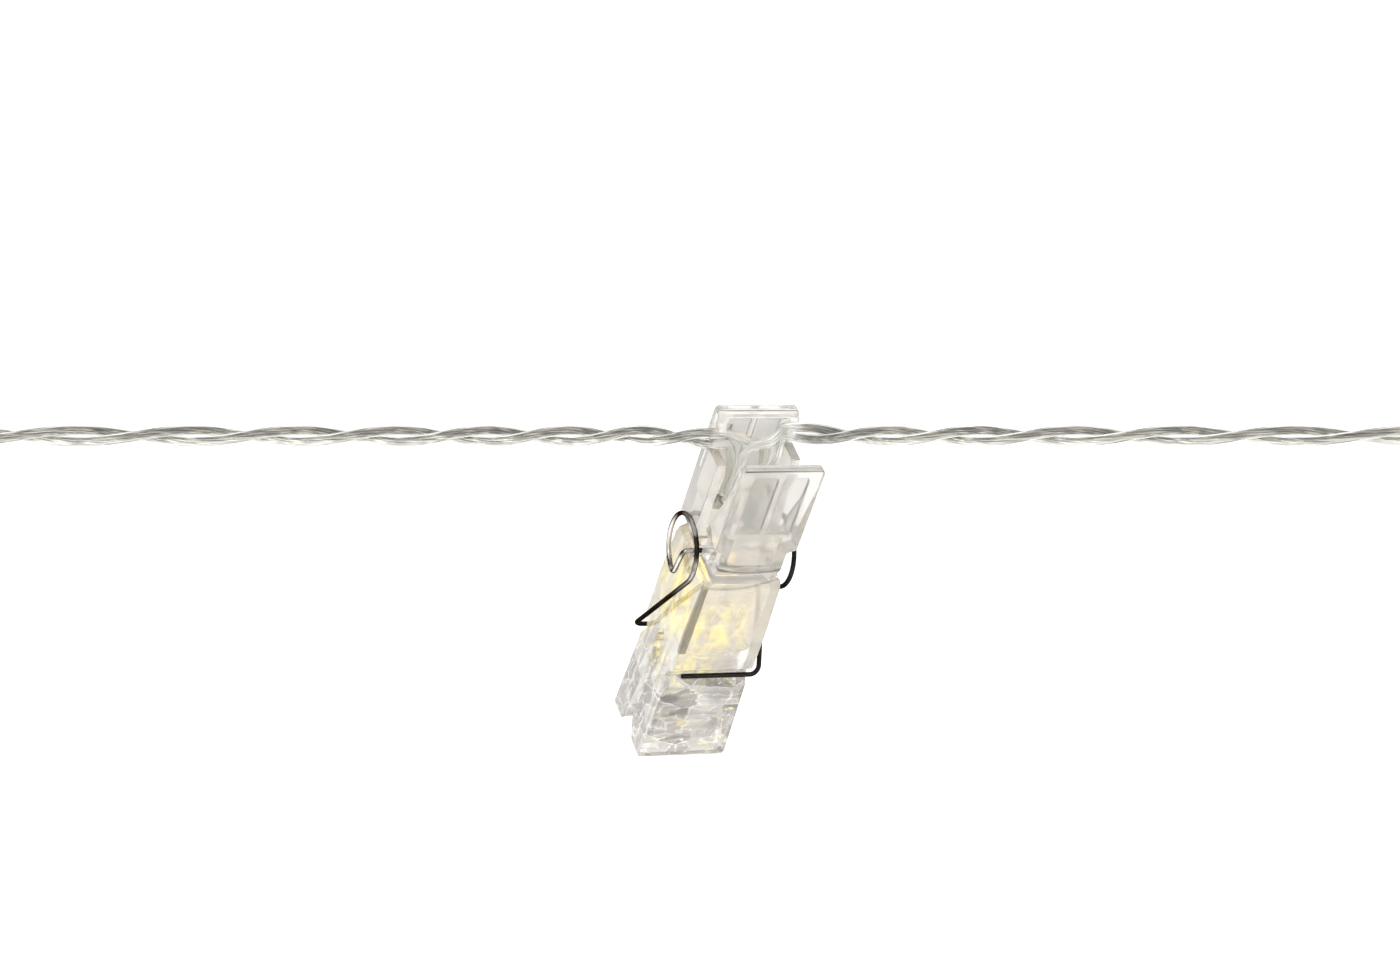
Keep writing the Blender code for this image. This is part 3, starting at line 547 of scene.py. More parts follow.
plasticLook = {
    "pale": (0.985, 0.96, 0.93),
    "glow": (1.0, 0.82, 0.12),
    "sparkGlow": 0.22,
    "grazingShadeBlend": 0.35,
    "edges": 0.45,
    "roughness": {1: (0.08, 0.12), -1: (0.08, 0.03)},
    "relief": (0.3, 0.16 * mm),
    "reliefOf": {"streak": 0.7, "cloud": 0.5, "dark": 0.4},
    "shader": {
        "Transmission_Weight": 0.72, "IOR": 1.49, "Coat_Weight": 0.7, "Coat_Roughness": 0.05,
        "Emission_Strength": 0.52,
    },
}
plasticTones = {  # each layer's colour, and how much of it shows where its mask is 1
    "cream": ((0.99, 0.95, 0.86), 1.0),
    "blush": ((0.90, 0.83, 0.77), 0.6),
    # painted shade: the thumb panel greyed for the shaded pocket seen through it
    "panelShade": ((0.60, 0.59, 0.565), 0.7),
    # painted shade at grazing angles and along streaks
    "edge": ((0.76, 0.72, 0.67), 1.0),
    # painted shade and painted highlights of the nose's patches
    "patchShade": ((0.27, 0.235, 0.205), 0.9),
    "spark": ((1.0, 1.0, 1.0), 0.9),
    # painted shade lines in the hub
    "hatchShade": ((0.27, 0.235, 0.205), 1.0),
    # painted light from the LED: honey where it glows, amber on the side walls
    "honey": ((0.96, 0.86, 0.33), 1.0),
    "amber": ((0.74, 0.64, 0.24), 0.8),
    # painted shade: the front half's dark corner bar and the dark lines of its hollow
    "corner": ((0.085, 0.074, 0.062), 0.93),
    "line": ((0.09, 0.085, 0.08), 1.0),
}
plasticNoise = {  # scale, detail, stretch, turn, distortion, and the values at which its mask is 0 and 1
    "cloud": (0.16, 3.0, (1, 1, 1), (0, 0, 0), 0.8, (0.35, 0.68)),
    "streak": (0.55, 4.0, (1, 1, 0.22), (0, 0, 0), 0.6, (0.52, 0.72)),
    "bands": (0.9, 4.0, (0.16, 0.5, 1.5), (0, 0, 0), 0.4, (0.50, 0.66)),
    "wallStreakNoise": (0.8, 4.0, (1, 1, 0.25), (0, 0, 0), 0.8, (0.50, 0.56)),
    "hatchShade": (2.6, 3.0, (1, 1, 0.1), (0.12, 0, 0), 0.0, (0.47, 0.56)),
    "glint": (0.75, 4.0, (0.8, 0.8, 0.45), (0, 0, 0), 0.5, (0.43, 0.58)),
    "glowFleck": (0.8, 2.0, (0.5, 1, 1.1), (0.4, 0.2, 0), 0.0, (0.64, 0.70)),
    "grain": (1.0, 4.0, (0.3, 0.5, 1.2), (0, 0, 0), 0.9, (0.60, 0.68)),
    "sparkles": (1.5, 2.0, (0.6, 0.6, 1), (0, 0, 0), 0.0, (0.655, 0.69)),
}
plasticPlaces = {  # from, to and softness, of a height unless it says otherwise
    "bands": (-40.0, 8.0, 3.0),
    "panelAside": (0.3, 3.5, 0.12),
    "wallAside": (4.7, 9.0, 0.1),
    "noseWall": (-34.0, -13.0, 2.0),
    "noseShadeBand": (-28.8, -25.8, 0.4),
    "crystal": (-34.0, -16.2, 1.6),
    "glowFlecks": (-40.0, -11.0, 1.0),
    "cornerShadeAcross": (-5.6, -4.3, 0.08),
    "cornerShadeDepth": (-7.0, -4.6, 0.1),
    "corner": (-11.6, -1.3, 0.15),
    "hollow": (-1.2, 1.1, 0.3),
}
thumbPanel = {"top": {1: 16.5, -1: 15.8}, "length": 8.7, "face": {1: 3.9, -1: 4.6}, "past": 9.0, "soft": 0.15}
# painted highlights and painted shade on the nose's side walls
noseWall = {"bright": (0.46, 0.42), "brightShare": 0.75, "darkShare": 0.7, "bandShare": 0.5}
hub = {"place": ((-5.2, 0.4, 0.6), (1.6, 5.6, 6.4)), "fill": 1.6, "hatched": 0.6, "plain": 0.15}
warmLight = {
    "halo": ((-1.5, 0.0, -8.0), (8.0, 8.0, 8.2)),
    "haloShare": 1.25,
    "ember": ((-2.5, 0.0, -16.0), (6.5, 9.0, 3.6)),
    "emberGlints": (0.2, 0.7),
    "emberShare": 0.75,
    "fleckShare": 0.38,
    "wallDims": 0.42,
    "streakDims": 0.45,
}
crystal = {
    "wander": (0.35, 3.0),
    "cells": {"Scale": (0.21, 0.30, 0.42), "Rotation": (0.0, 0.12, 0.0)},
    "darkCells": (0.52, 0.56),
    "grainInCells": (0.36, 0.54, 0.45, 1.0),
    "blotchShare": 0.55,
    "borders": (0.01, 0.045, 1.0, 0.0),
    "grainOnBorders": (0.44, 0.55),
}
saddle = {
    "lines": (  # each one's middle, bend and height, the limits and softness of its width, and its share
        (0.3, 0.045, 1.0, (-0.2, 0.22, 0.1), 1.0),
        (2.0, 0.047, 1.5, (-0.6, 0.25, 0.35), 0.5),
        (-2.0, 0.03, -1.4, (-0.12, 0.16, 0.1), 0.5),
    ),
    "hollowShare": 0.08,
}


def pattern(nodes, place, name):
    # a noise of the table, plain and as a mask
    *settings, limits = plasticNoise[name]
    plain = noise(nodes, place, *settings)
    return plain, ramped(nodes, plain, *limits)


def paint(nodes, tone, name, mask):
    colour, share = plasticTones[name]
    return mixColours(nodes, mask * share, tone, colour)


def noseCrystal(nodes, place, height):
    # the clear nose breaks the light into flat-edged patches: painted shade for their darkness, and painted
    # highlights for their bright edges and sparks
    nose = within(nodes, height, *plasticPlaces["crystal"])
    wander = noise(nodes, place, *crystal["wander"], out="Color")
    bent = nodes.node("ShaderNodeVectorMath", {"operation": "ADD"}, n0=place, n1=wander)
    cells = nodes.node("ShaderNodeMapping", Vector=bent, **crystal["cells"])
    chance = parts(nodes, nodes.node("ShaderNodeTexVoronoi", out="Color", Vector=cells, Scale=1.0))[0]
    border = nodes.node("ShaderNodeTexVoronoi", {"feature": "DISTANCE_TO_EDGE"}, Vector=cells, Scale=1.0)
    grain, shadeBlotch = pattern(nodes, place, "grain")
    dark = ramped(nodes, chance, *crystal["darkCells"]) * ramped(nodes, grain, *crystal["grainInCells"])
    edges = ramped(nodes, border, *crystal["borders"]) * ramped(nodes, grain, *crystal["grainOnBorders"])
    sparkles = pattern(nodes, place, "sparkles")[1]
    return dark.most(shadeBlotch * crystal["blotchShare"]) * nose, edges.most(sparkles) * nose


def hollowShadeLines(nodes, across, height):
    # painted shade: the bent dark lines along the shallow hollow across the front half at the pivot, and a
    # faint grey in the hollow
    found = within(nodes, height, *plasticPlaces["hollow"]) * saddle["hollowShare"]
    for middle, bend, rise, width, share in saddle["lines"]:
        offset = across - middle
        level = height - (offset * offset * bend + rise)
        found = found.most(within(nodes, level, *width) * share)
    return found


def clearPlasticFinish(name, side):
    material, nodes = newMaterial(name)
    place = inClip(nodes)
    across, depth, height = parts(nodes, place)
    aside = across.absolute()
    cloud, cream = pattern(nodes, place, "cloud")
    streak, edge = pattern(nodes, place, "streak")
    wallStreakNoise, wallStreak = pattern(nodes, place, "wallStreakNoise")
    names = ("bands", "hatchShade", "glint", "glowFleck")
    bands, hatchShade, glint, glowFleck = [pattern(nodes, place, each)[1] for each in names]
    face = within(nodes, depth * side, thumbPanel["face"][side], thumbPanel["past"], thumbPanel["soft"])
    wall = within(nodes, aside, *plasticPlaces["wallAside"])

    # the body: cream clouds, reddish bands, painted shade on the thumb panel for the shaded pocket seen through
    # it, and painted shade where it turns away and along streaks
    tone = paint(nodes, plasticLook["pale"], "cream", cream)
    tone = paint(nodes, tone, "blush", bands * within(nodes, height, *plasticPlaces["bands"]))
    top = thumbPanel["top"][side]
    panelShade = within(nodes, height, top - thumbPanel["length"], top, thumbPanel["soft"]) * face
    tone = paint(nodes, tone, "panelShade", panelShade * within(nodes, aside, *plasticPlaces["panelAside"]))
    grazing = nodes.node("ShaderNodeLayerWeight", out="Facing", Blend=plasticLook["grazingShadeBlend"])
    tone = paint(nodes, tone, "edge", ((grazing + edge) * plasticLook["edges"]).capped())

    # painted shade and painted highlights in the nose's patches and on its side walls, and painted shade lines
    # in the hub
    dark, spark = noseCrystal(nodes, place, height)
    sides = wall * within(nodes, height, *plasticPlaces["noseWall"])
    spark = spark.most(sides * ramped(nodes, wallStreakNoise, *noseWall["bright"]) * noseWall["brightShare"])
    shadeBand = within(nodes, height, *plasticPlaces["noseShadeBand"]) * noseWall["bandShare"]
    dark = dark.most(sides * wallStreak * noseWall["darkShare"], shadeBand)
    tone = paint(nodes, tone, "patchShade", dark)
    tone = paint(nodes, tone, "spark", spark)
    # painted shade: thin dark lines in the hub inside the spring's ring
    barrel = (nearness(nodes, place, *hub["place"]) * hub["fill"]).capped()
    tone = paint(nodes, tone, "hatchShade", barrel * (hatchShade * hub["hatched"] + hub["plain"]))

    # painted light: the LED's light in the plastic as colour and glow, less on the side walls
    halo = nearness(nodes, place, *warmLight["halo"])
    ember = nearness(nodes, place, *warmLight["ember"]) * ramped(nodes, glint, *warmLight["emberGlints"])
    glowFleck = glowFleck * within(nodes, height, *plasticPlaces["glowFlecks"])
    lit = halo * glint * warmLight["haloShare"]
    lit = lit.most(glowFleck * warmLight["fleckShare"], ember * warmLight["emberShare"]).capped()
    tone = paint(nodes, tone, "honey", lit)
    tone = paint(nodes, tone, "amber", halo * wall * wallStreak)
    lit = lit * (1 - wall * (wallStreak * warmLight["streakDims"] + warmLight["wallDims"]))

    # painted shade on the front half: a dark bar along its front left corner, where the LED's light is taken
    # out, and the hollow's dark lines
    if side < 0:
        corner = within(nodes, across, *plasticPlaces["cornerShadeAcross"])
        corner = corner * within(nodes, depth, *plasticPlaces["cornerShadeDepth"])
        corner = corner * within(nodes, height, *plasticPlaces["corner"])
        tone = paint(nodes, tone, "corner", corner)
        tone = paint(nodes, tone, "line", hollowShadeLines(nodes, across, height) * face)
        lit = lit * (1 - corner)

    # painted light: the LED's glow and the sparks' glow
    light = mixColours(nodes, lit, black, plasticLook["glow"])
    light = mixColours(nodes, spark * plasticLook["sparkGlow"], light, white)
    share = plasticLook["reliefOf"]
    relief = streak * share["streak"] + cloud * share["cloud"] + dark * share["dark"]
    look = {**plasticLook, "roughness": plasticLook["roughness"][side]}
    principled(nodes, tone, cloud, look, relief, Emission_Color=light)
    return material


# The string's clear jackets and tinned strands, which look milky behind the clip's plastic by a painted glow,
# with painted shade on the upper strand, at grazing edges, underneath and beside the clip.

wirePlaces = {
    "asideClip": (-1.0, 5.3, 0.3),  # in the clip's millimetres: from, to and softness
    "heightInClip": (0.0, 20.0, 1.0),
    "halfLobe": 0.5 * mm,
}
jacketLook = {
    "cloud": (260.0, 3.0),
    "tones": ((0.99, 0.985, 0.96), (0.93, 0.92, 0.88)),
    "upper": ((0.66, 0.65, 0.60), 0.55),
    "rim": ((0.30, 0.29, 0.27), 0.7),
    "rimFacing": (0.55, 0.85),
    "under": ((0.12, 0.115, 0.10), 0.9),
    "underNormal": (-0.62, -0.80),
    "shade": ((0.30, 0.29, 0.27), 0.9),
    "shadePlace": ((9.0, 3.2, 15.0), (4.5, 4.5, 4.5)),  # painted reflection: dark plastic edges show in it next to the clip
    "inside": (0.99, 0.99, 0.97),
    "milkyGlow": (0.93, 0.94, 0.88),
    "roughness": (0.1, 0.03),
    "relief": (0.15, 0.05 * mm),
    "shader": {"Transmission_Weight": 0.93, "IOR": 1.5, "Emission_Strength": 0.02},
}
conductorLook = {
    "wear": (900.0, 3.0),
    "lines": (2600.0, 3.0, (0.03, 1, 1)),
    "lineRange": (0.45, 0.55),
    "lineShare": 0.7,
    "upperShare": 0.32,
    "tones": ((0.98, 0.96, 0.90), (0.37, 0.36, 0.33)),
    "inside": (0.84, 0.83, 0.79),
    "milkyGlow": (0.90, 0.90, 0.85),
    "lowerGlow": 0.9,
    "dark": (0.07, 0.07, 0.065),
    "paintedShadePlace": ((9.5, 3.0, 15.0), (6.0, 6.0, 6.0)),
    "roughness": (0.25, 0.22),
    "relief": (0.3, 0.03 * mm),
    "shader": {"Metallic": 1.0, "Emission_Strength": 0.085},
}


def insideClip(nodes):
    across, depth, height = parts(nodes, inClip(nodes))
    between = within(nodes, across.absolute(), *wirePlaces["asideClip"])
    return between * within(nodes, height, *wirePlaces["heightInClip"])


def upperLobe(nodes):
    # 1 where a wire passes over the other one, 0 where it passes under: where painted shade on the upper strand
    # and painted glow on the lower one go
    level = stringPair["height"]
    half = wirePlaces["halfLobe"]
    return ramped(nodes, parts(nodes, objectPlace(nodes))[2], level - half, level + half)


def wireJacketFinish():
    look = jacketLook
    material, nodes = newMaterial("wireJacket")
    cloud = noise(nodes, objectPlace(nodes), *look["cloud"])
    grazing = nodes.node("ShaderNodeLayerWeight", out="Facing", Blend=0.5)
    normal = nodes.node("ShaderNodeTexCoord", out="Normal")
    # painted shade on the upper strand, at grazing edges, on undersides and next to the clip
    masks = {
        "upper": upperLobe(nodes),
        "rim": ramped(nodes, grazing, *look["rimFacing"]),
        "under": ramped(nodes, parts(nodes, normal)[2], *look["underNormal"]),
        "shade": nearness(nodes, inClip(nodes), *look["shadePlace"]),
    }
    tone = mixColours(nodes, cloud, *look["tones"])
    for name, mask in masks.items():
        colour, share = look[name]
        tone = mixColours(nodes, mask * share, tone, colour)
    # painted light: near white and a milky glow inside the clip
    inside = insideClip(nodes)
    tone = mixColours(nodes, inside, tone, look["inside"])
    principled(nodes, tone, cloud, look, Emission_Color=mixColours(nodes, inside, black, look["milkyGlow"]))
    return material


def conductorFinish():
    look = conductorLook
    material, nodes = newMaterial("conductor")
    place = objectPlace(nodes)
    wear = noise(nodes, place, *look["wear"])
    lines = ramped(nodes, noise(nodes, place, *look["lines"]), *look["lineRange"])
    upper = upperLobe(nodes)
    inside = insideClip(nodes)
    # painted shade on the upper strand
    tone = mixColours(nodes, (lines * look["lineShare"] + upper * look["upperShare"]).capped(), *look["tones"])
    tone = mixColours(nodes, inside, tone, look["inside"])
    # painted shade next to the clip's right entry
    tone = mixColours(nodes, nearness(nodes, inClip(nodes), *look["paintedShadePlace"]), tone, look["dark"])
    # painted glow inside the clip and on the lower strand
    milkyGlow = mixColours(nodes, inside.most((1 - upper) * look["lowerGlow"]), black, look["milkyGlow"])
    principled(nodes, tone, wear, look, Emission_Color=milkyGlow)
    return material


# The spring's dark steel, with painted bright highlights on its left ring.

springLook = {
    "wear": (700.0, 4.0),
    "tones": ((0.008, 0.008, 0.008), (0.036, 0.033, 0.030)),
    "glint": (0.85, 0.83, 0.79),
    "glints": (230.0, 2.0),
    "glintRange": (0.40, 0.52),
    "ringPlace": ((-6.0, 0.5, 0.0), (2.0, 6.5, 6.5)),
    "ringFill": 2.5,
    "middle": (0.3, 0.6, 1.0, 0.0),
    "roughness": (0.2, 0.16),
    "relief": (0.25, 0.03 * mm),
    "shader": {"Metallic": 1.0, "Specular_Tint": (0.42, 0.39, 0.34)},
}


def springFinish():
    look = springLook
    material, nodes = newMaterial("springSteel")
    place = objectPlace(nodes)
    wear = noise(nodes, place, *look["wear"])
    # painted highlights on the ring: lighter down the wire's middle, in glints
    ring = (nearness(nodes, inClip(nodes), *look["ringPlace"]) * look["ringFill"]).capped()
    middle = ramped(nodes, nodes.node("ShaderNodeLayerWeight", out="Facing", Blend=0.5), *look["middle"])
    glints = ramped(nodes, noise(nodes, place, *look["glints"]), *look["glintRange"])
    tone = mixColours(nodes, wear, *look["tones"])
    principled(nodes, mixColours(nodes, ring * middle * glints, tone, look["glint"]), wear, look)
    return material


# The LED's lit lens.

lensLook = {
    "core": ((0.0, 2.25, -4.4), (1.9, 1.9, 3.4)),
    "tones": ((0.93, 0.88, 0.70), (1.0, 0.83, 0.42)),
    "lights": ((0.55, 0.45, 0.12), (1.0, 0.88, 0.42)),
    "roughness": (0.05, 0.12),
    "shader": {"Transmission_Weight": 0.35, "IOR": 1.5, "Emission_Strength": 1.6},
}


def lensFinish():
    look = lensLook
    material, nodes = newMaterial("ledLens")
    core = nearness(nodes, inClip(nodes), *look["core"])
    light = mixColours(nodes, core, *look["lights"])
    principled(nodes, mixColours(nodes, core, *look["tones"]), core, look, Emission_Color=light)
    return material


# Finishes in which one noise moves the colour, the roughness and, unless they have cells, the relief.

plainLooks = {
    "tinnedLead": {
        "noise": {"scale": 1200.0, "detail": 3.0},
        "tones": ((0.74, 0.74, 0.73), (0.50, 0.50, 0.49)),
        "roughness": (0.25, 0.2),
        "relief": (0.2, 0.03 * mm),
        "shader": {"Metallic": 1.0},
    },
    "shrinkSleeve": {
        "noise": {"scale": 420.0, "detail": 3.0},
        "tones": ((0.90, 0.90, 0.87), (0.76, 0.76, 0.72)),
        "roughness": (0.2, 0.18),
        "relief": (0.3, 0.08 * mm),
        "shader": {"Transmission_Weight": 0.7, "IOR": 1.48},
    },
    "hookPlastic": {
        "noise": {"scale": 110.0, "detail": 3.0, "distortion": 0.5},
        "tones": ((0.90, 0.91, 0.92), (0.80, 0.81, 0.83)),
        "roughness": (0.06, 0.05),
        "relief": (0.12, 0.1 * mm),
        "shader": {"Transmission_Weight": 0.88, "IOR": 1.49},
    },
    "adhesiveFoam": {
        "noise": {"scale": 300.0, "detail": 3.0},
        "cells": 2600.0,
        "tones": ((0.90, 0.90, 0.86), (0.78, 0.78, 0.73)),
        "roughness": (0.15, 0.75),
        "relief": (0.5, 0.08 * mm),
        "shader": {},
    },
}


def plainFinish(name):
    look = plainLooks[name]
    material, nodes = newMaterial(name)
    place = objectPlace(nodes)
    cloud = noise(nodes, place, **look["noise"])
    cells = nodes.node("ShaderNodeTexVoronoi", Vector=place, Scale=look["cells"]) if "cells" in look else None
    principled(nodes, mixColours(nodes, cloud, *look["tones"]), cloud, look, cells)
    return material


jacket = wireJacketFinish()
conductor = conductorFinish()
rearPlastic = clearPlasticFinish("rearPlastic", 1)
frontPlastic = clearPlasticFinish("frontPlastic", -1)
springSteel = springFinish()
ledLens = lensFinish()
tin, shrinkSleeve, hookPlastic, foam = [plainFinish(name) for name in plainLooks]
print("finishes ready")


# The string: two wires twisted, each one from its joint in the clip out to its sleeve at the hook.

conductorWire = {"strand": 0.2 * mm, "lay": 24.0 * mm, "sides": 7}
feed = {  # the tails' way inside the clip
    "ledDepth": 2.25 * mm,
    "sleeveSpacing": 3.6 * mm,
    "jointTop": (1.8 + 0.8 + 3.3 + 0.3) * mm,
    "sideWall": 1.2 * mm,
    "kneeWires": 2.2,  # wire diameters from the joint up to the last bend
}


def pairStretch(entry, sign, side):
    total = stretchLength(side)
    count = round(total / stringPair["step"])
    growth = stringPair["growth"]
    wires = ([], [])
    for n in range(count + 1):
        distance = total * n / count
        lean = max(0.0, 1 - distance / stringPair["bend"]) ** 2
        centre = Vector((
            entry.x + sign * distance,
            -stringPair["standOff"] + (entry.y + stringPair["standOff"]) * lean,
            stringPair["height"] + (entry.z - stringPair["height"]) * lean,
        ))
        halfTurns = (math.sqrt(side["lobe"] ** 2 + 2 * growth * distance) - side["lobe"]) / growth
        angle = sign * (side["phase"] + math.pi * halfTurns)
        share = 1 - math.sqrt(lean)
        along = heading.lerp(Vector((1, 0, 0)), share).normalized()
        upright = clipUp.lerp(Vector((0, 0, 1)), share)
        upright = (upright - along * upright.dot(along)).normalized()
        offset = upright * math.cos(angle) - along.cross(upright) * math.sin(angle)
        wires[0].append(centre + offset * stringPair["spacing"] / 2)
        wires[1].append(centre - offset * stringPair["spacing"] / 2)
    inside = stringPair["sleeveLength"] - stringPair["legInSleeve"] - stringPair["fitGap"]
    for wire in wires:
        wire.append(wire[-1] + Vector((sign * inside, 0, 0)))
    return wires


def tailRoute(start, sign, letter):
    # inside the clip, from its notch to the joint above the LED
    depth = feed["ledDepth"] - sign * stringPair["spacing"] / 2
    wire = stringPair["wire"]
    wall = sign * (clipPlace["width"] / 2 - feed["sideWall"] - wire / 2)
    footX = (-1 if letter == "a" else 1) * feed["sleeveSpacing"] / 2
    knee = feed["jointTop"] + feed["kneeWires"] * wire
    route = [start, Vector((wall, start.y, start.z))]
    if sign * footX > 0:
        route.append(Vector(((wall + footX) / 2, depth, (start.z + knee) / 2 + wire)))
    else:
        route.append(Vector((wall / 3, depth, start.z - wire / 4)))
        route.append(Vector((footX * 3 / 4, depth, start.z - 3 * wire / 2)))
    route.append(Vector((footX, depth, knee)))
    route.append(Vector((footX, depth, feed["jointTop"])))
    return route


def coreMesh(name, points):
    values = {
        "Strand Diameter": conductorWire["strand"],
        "Lay Length": conductorWire["lay"],
        "Sides": conductorWire["sides"],
        "Wire Material": conductor,
    }
    return alongPath(name, points, strandNodes, values)


def makeWire(label, letter, sign, entry, stretch):
    # one wire's jacket and strands
    name = label.capitalize() + letter.upper()
    tail = [toClip @ point for point in tailRoute(toClip.inverted() @ stretch[0], sign, letter)]
    points = smoothPath(tail, stringPair["step"])[::-1] + stretch[1:]
    shell = addPiece("wire" + name, wireMesh("wire" + name, points, stringPair["jacket"], jacket), jacket)
    core = addPiece("core" + name, coreMesh("core" + name, points), conductor)
    outer = entry + Vector((sign * stringPair["swingReach"], 0, 0))
    inner = entry - Vector((sign * stringPair["swingInside"], 0, 0))
    for piece in (shell, core):
        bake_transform(piece)
    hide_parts("string_" + label + "_" + letter, "tail_" + label + "_" + letter)
    return shell, core, points, label


wires = []
for label, sign, entry, letters in (("left", -1, leftEntry, "ba"), ("right", 1, rightEntry, "ab")):
    for letter, stretch in zip(letters, pairStretch(entry, sign, stringPair[label])):
        wires.append(makeWire(label, letter, sign, entry, stretch))
lengths = [f"{shell.name} {pathLength(points) / mm:.1f} mm" for shell, core, points, label in wires]
print("string wires:", ", ".join(lengths))


# The clip halves: the moulded shapes with their edges rounded.

rounding = {
    "clip": 0.17 * mm,
    "joint": 0.2 * mm,
    "hook": 0.12 * mm,
    "steps": 2,
    "sharpFrom": math.radians(33.0),
    "flat": math.radians(0.7),
    "merge": 0.002 * mm,
}


def roundedShell(nodeName, pieceName, material, width, body):
    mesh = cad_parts[nodeName].data.copy()
    bm = bmesh.new()
    bm.from_mesh(mesh)
    bmesh.ops.remove_doubles(bm, verts=bm.verts, dist=rounding["merge"])
    bmesh.ops.dissolve_limit(bm, angle_limit=rounding["flat"], verts=bm.verts, edges=bm.edges)
    bm.to_mesh(mesh)
    bm.free()
    mesh.shade_smooth()
    piece = addPiece(pieceName, mesh, material)
    bevel = piece.modifiers.new("edges", "BEVEL")
    bevel.width = width
    bevel.segments = rounding["steps"]
    bevel.limit_method = "ANGLE"
    bevel.angle_limit = rounding["sharpFrom"]
    bevel.use_clamp_overlap = False
    even = piece.modifiers.new("even", "WEIGHTED_NORMAL")
    even.keep_sharp = True
    graph = bpy.context.evaluated_depsgraph_get()
    final = bpy.data.meshes.new_from_object(piece.evaluated_get(graph))
    piece.modifiers.clear()
    piece.data = final
    final.name = pieceName
    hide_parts(nodeName)
    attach(piece, body)
    return piece


rearShell = roundedShell("rear_half", "rearShell", rearPlastic, rounding["clip"], "clip")
frontShell = roundedShell(
    "front_half", "frontShell", frontPlastic, rounding["clip"], "jaw_lever"
)
print("clip halves:", len(rearShell.data.polygons), len(frontShell.data.polygons), "faces")


# The spring: one wire, both rings, the axle through the clip, and the two cross bars.

springWire = {
    "diameter": 0.58 * mm,
    "sides": 14,
    "ringRadius": 4.1 * mm,
    "ringX": 6.0 * mm,
    "ringShift": 0.4 * mm,
    "ringStart": math.radians(-76.0),
    "ringSteps": 48,
    "spokeFoot": math.radians(-87.0),
    "barDepth": (5.15 - 1.15 + 0.3 + 0.25) * mm,
    "barHeight": -15.8 * mm,
    "barEnd": 3.35 * mm,
    "armSplay": 0.5 * mm,
    "barBend": 1.1 * mm,
    "axleBend": 0.6 * mm,
    "spokeBend": 0.65 * mm,
    "bendSteps": 8,
    "handOver": (1.0, -1.1, 0.0),  # a way across the pivot
    "handOverHalf": 1.8 * mm,
}


def roundedCorners(corners, steps):
    points = [corners[0][0]]
    for i in range(1, len(corners) - 1):
        corner, radius = corners[i]
        if radius == 0.0:
            points.append(corner)
            continue
        into = (corners[i - 1][0] - corner).normalized()
        out = (corners[i + 1][0] - corner).normalized()
        half = into.angle(out) / 2
        reach = radius / math.tan(half)
        centre = corner + (into + out).normalized() * (radius / math.sin(half))
        start = corner + into * reach - centre
        stop = corner + out * reach - centre
        sweep = start.angle(stop)
        for step in range(steps + 1):
            share = step / steps
            arc = start * math.sin((1 - share) * sweep) + stop * math.sin(share * sweep)
            points.append(centre + arc / math.sin(sweep))
    points.append(corners[-1][0])
    return points


def springRoute():
    # each corner with its bend radius; the second half mirrors the first through the pivot
    ring = springWire["ringRadius"]
    shift = springWire["ringShift"]
    side = -springWire["ringX"]
    steps = springWire["ringSteps"]

    def onRing(angle):
        return Vector((side, shift + ring * math.cos(angle), ring * math.sin(angle)))

    barEnd = Vector((springWire["barEnd"], springWire["barDepth"], springWire["barHeight"]))
    elbow = Vector((side - springWire["armSplay"], springWire["barDepth"], springWire["barHeight"]))
    across = elbow.y - shift
    leave = math.atan2(elbow.z, across) - math.acos(ring / math.hypot(across, elbow.z)) + 2 * math.pi
    half = [(barEnd, 0.0), (elbow, springWire["barBend"])]
    half += [(onRing(leave + (springWire["ringStart"] - leave) * n / steps), 0.0) for n in range(steps + 1)]
    half += [(onRing(springWire["spokeFoot"]), springWire["spokeBend"])]
    half += [(Vector((side, 0, 0)), springWire["axleBend"])]
    other = [(Vector((-point.x, -point.y, point.z)), bend) for point, bend in reversed(half)]
    return roundedCorners(half + other, springWire["bendSteps"])


def makeSpring():
    route = [toClip @ point for point in springRoute()]
    mesh = wireMesh("springWire", route, springWire["diameter"], springSteel, springWire["sides"])
    spring = addPiece("springWire", mesh, springSteel)
    across = Vector(springWire["handOver"])
    reach = across * (springWire["handOverHalf"] / across.length_squared)
    toClip @ -reach
    toClip @ reach
    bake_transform(spring)
    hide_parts("clip_spring")


makeSpring()
print("spring made")


# The LED, its leads and its joints.

ledShape = {
    "top": -1.6 * mm,
    "flange": 1.7 * mm,
    "flangeThickness": 0.8 * mm,
    "radius": 1.5 * mm,
    "straight": 2.9 * mm,
    "edge": 0.12 * mm,
    "domeSteps": 10,
    "sides": 40,
}


def makeLed():
    top, flange, edge, radius = [ledShape[name] for name in ("top", "flange", "edge", "radius")]
    shoulder = top - ledShape["flangeThickness"]
    dome = shoulder - ledShape["straight"]
    profile = [(0.0, top), (flange - edge, top), (flange, top - edge), (flange, shoulder + edge)]
    profile += [(flange - edge, shoulder), (radius, shoulder), (radius, dome)]
    for n in range(1, ledShape["domeSteps"]):
        angle = math.pi / 2 * n / ledShape["domeSteps"]
        profile.append((radius * math.cos(angle), dome - radius * math.sin(angle)))
    profile.append((0.0, dome - radius))

    def place(x, y, along):
        return toClip @ Vector((x, feed["ledDepth"] + y, along))

    lens = addPiece("ledLens", turnedMesh("ledLens", profile, ledShape["sides"], place, False), ledLens, "clip")
    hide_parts("led_lens")


def dressNode(name, material):
    # a node whose own shape is right gets a better material
    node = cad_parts[name]
    node.data.materials.clear()
    node.data.materials.append(material)


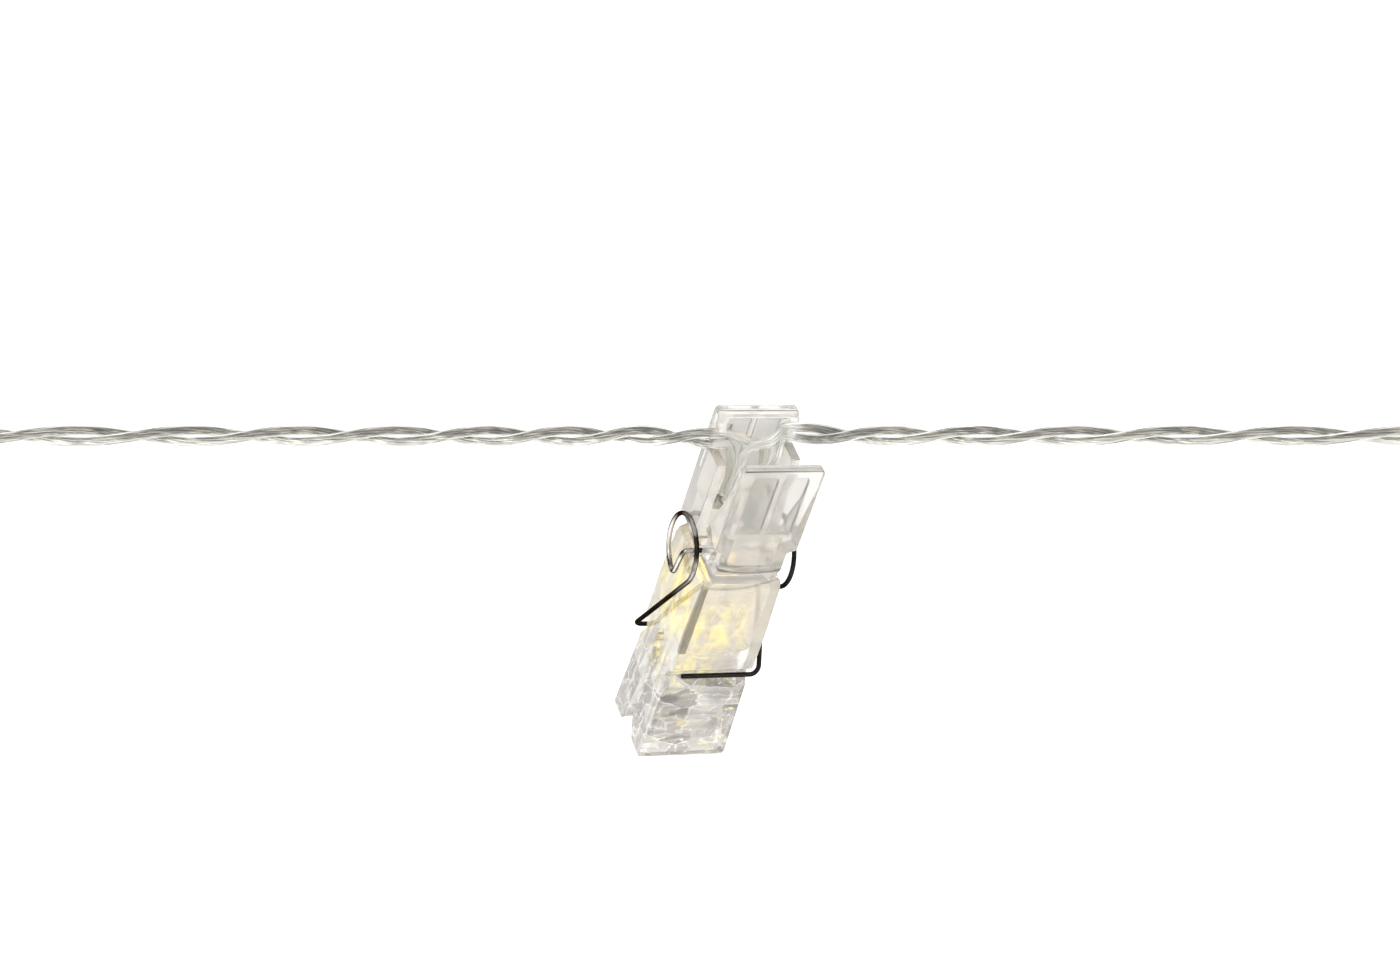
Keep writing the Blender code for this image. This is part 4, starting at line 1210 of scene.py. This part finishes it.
makeLed()
for letter in "ab":
    dressNode("led_lead_" + letter, tin)
    sleeve = "jointSleeve" + letter.upper()
    roundedShell("joint_sleeve_" + letter, sleeve, shrinkSleeve, rounding["joint"], "clip")
print("light and joints made")


# The string's ends: loops, sleeves, hooks and pads.

endLoop = {
    "radius": 3.4 * mm,
    "shift": 0.35 * mm,
    "gape": math.radians(52.0),
    "steps": 12,
    "pathStep": 0.5 * mm,
}
endSleeve = {
    "radius": 2.0 * mm,
    "bore": 1.425 * mm,
    "neck": 0.1 * mm,
    "flareShare": 0.12,
    "waist": 0.045,
    "ripple": 0.03 * mm,
    "ripplePace": 2.3,
    "rings": 28,
    "sides": 40,
}


def loopRoute(hookX, sign):
    centre = Vector((hookX + sign * endLoop["shift"], -stringPair["standOff"], stringPair["height"]))
    sleeveX = hookX + sign * stringPair["sleeveFromHook"]
    half = stringPair["spacing"] / 2
    legs = (sleeveX + sign * stringPair["legInSleeve"], sleeveX)
    upper = [Vector((x, centre.y, centre.z + half)) for x in legs]
    lower = [Vector((x, centre.y, centre.z - half)) for x in reversed(legs)]
    ring = []
    gape = endLoop["gape"]
    for step in range(endLoop["steps"] + 1):
        angle = gape + (2 * math.pi - 2 * gape) * step / endLoop["steps"]
        ring.append(centre + Vector((sign * math.cos(angle), 0, math.sin(angle))) * endLoop["radius"])
    return smoothPath(upper + ring + lower, endLoop["pathStep"])


def sleeveMesh(name, hookX, sign):
    # a shrunk sleeve: flared at its ends, drawn in at its waist, a little uneven
    profile = []
    for n in range(endSleeve["rings"] + 1):
        share = n / endSleeve["rings"]
        flare = max(0.0, 1 - min(share, 1 - share) / endSleeve["flareShare"]) ** 2
        radius = endSleeve["radius"] * (1 - endSleeve["waist"] * math.sin(math.pi * share) ** 2)
        radius -= endSleeve["neck"] * (1 - flare) + endSleeve["ripple"] * math.sin(n * endSleeve["ripplePace"])
        profile.append((radius, share))
    profile += [(endSleeve["bore"], 1.0), (endSleeve["bore"], 0.0)]
    start = hookX + sign * stringPair["sleeveFromHook"]

    def place(y, z, share):
        x = start + sign * stringPair["sleeveLength"] * share
        return Vector((x, -stringPair["standOff"] + y, stringPair["height"] + z))

    return turnedMesh(name, profile, endSleeve["sides"], place, True)


def makeEnd(label, hookX, sign):
    body = "string_and_hooks"
    route = loopRoute(hookX, sign)
    loopMesh = wireMesh(label + "EndLoop", route, stringPair["jacket"], jacket)
    loop = addPiece(label + "EndLoop", loopMesh, jacket, body)
    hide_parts(label + "_end_loop")
    core = addPiece(label + "LoopCore", coreMesh(label + "LoopCore", route), conductor, body)
    sleeve = addPiece(label + "Sleeve", sleeveMesh(label + "Sleeve", hookX, sign), shrinkSleeve, body)
    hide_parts(label + "_sleeve")
    roundedShell(label + "_hook", label + "Hook", hookPlastic, rounding["hook"], body)
    dressNode(label + "_pad", foam)
    return [loop, core, sleeve]


endPieces = {"left": makeEnd("left", 0.0, 1), "right": makeEnd("right", rightHookX, -1)}
for shell, core, points, label in wires:
    pathLength(points)
    [core] + endPieces[label]
print("ends and hooks made")
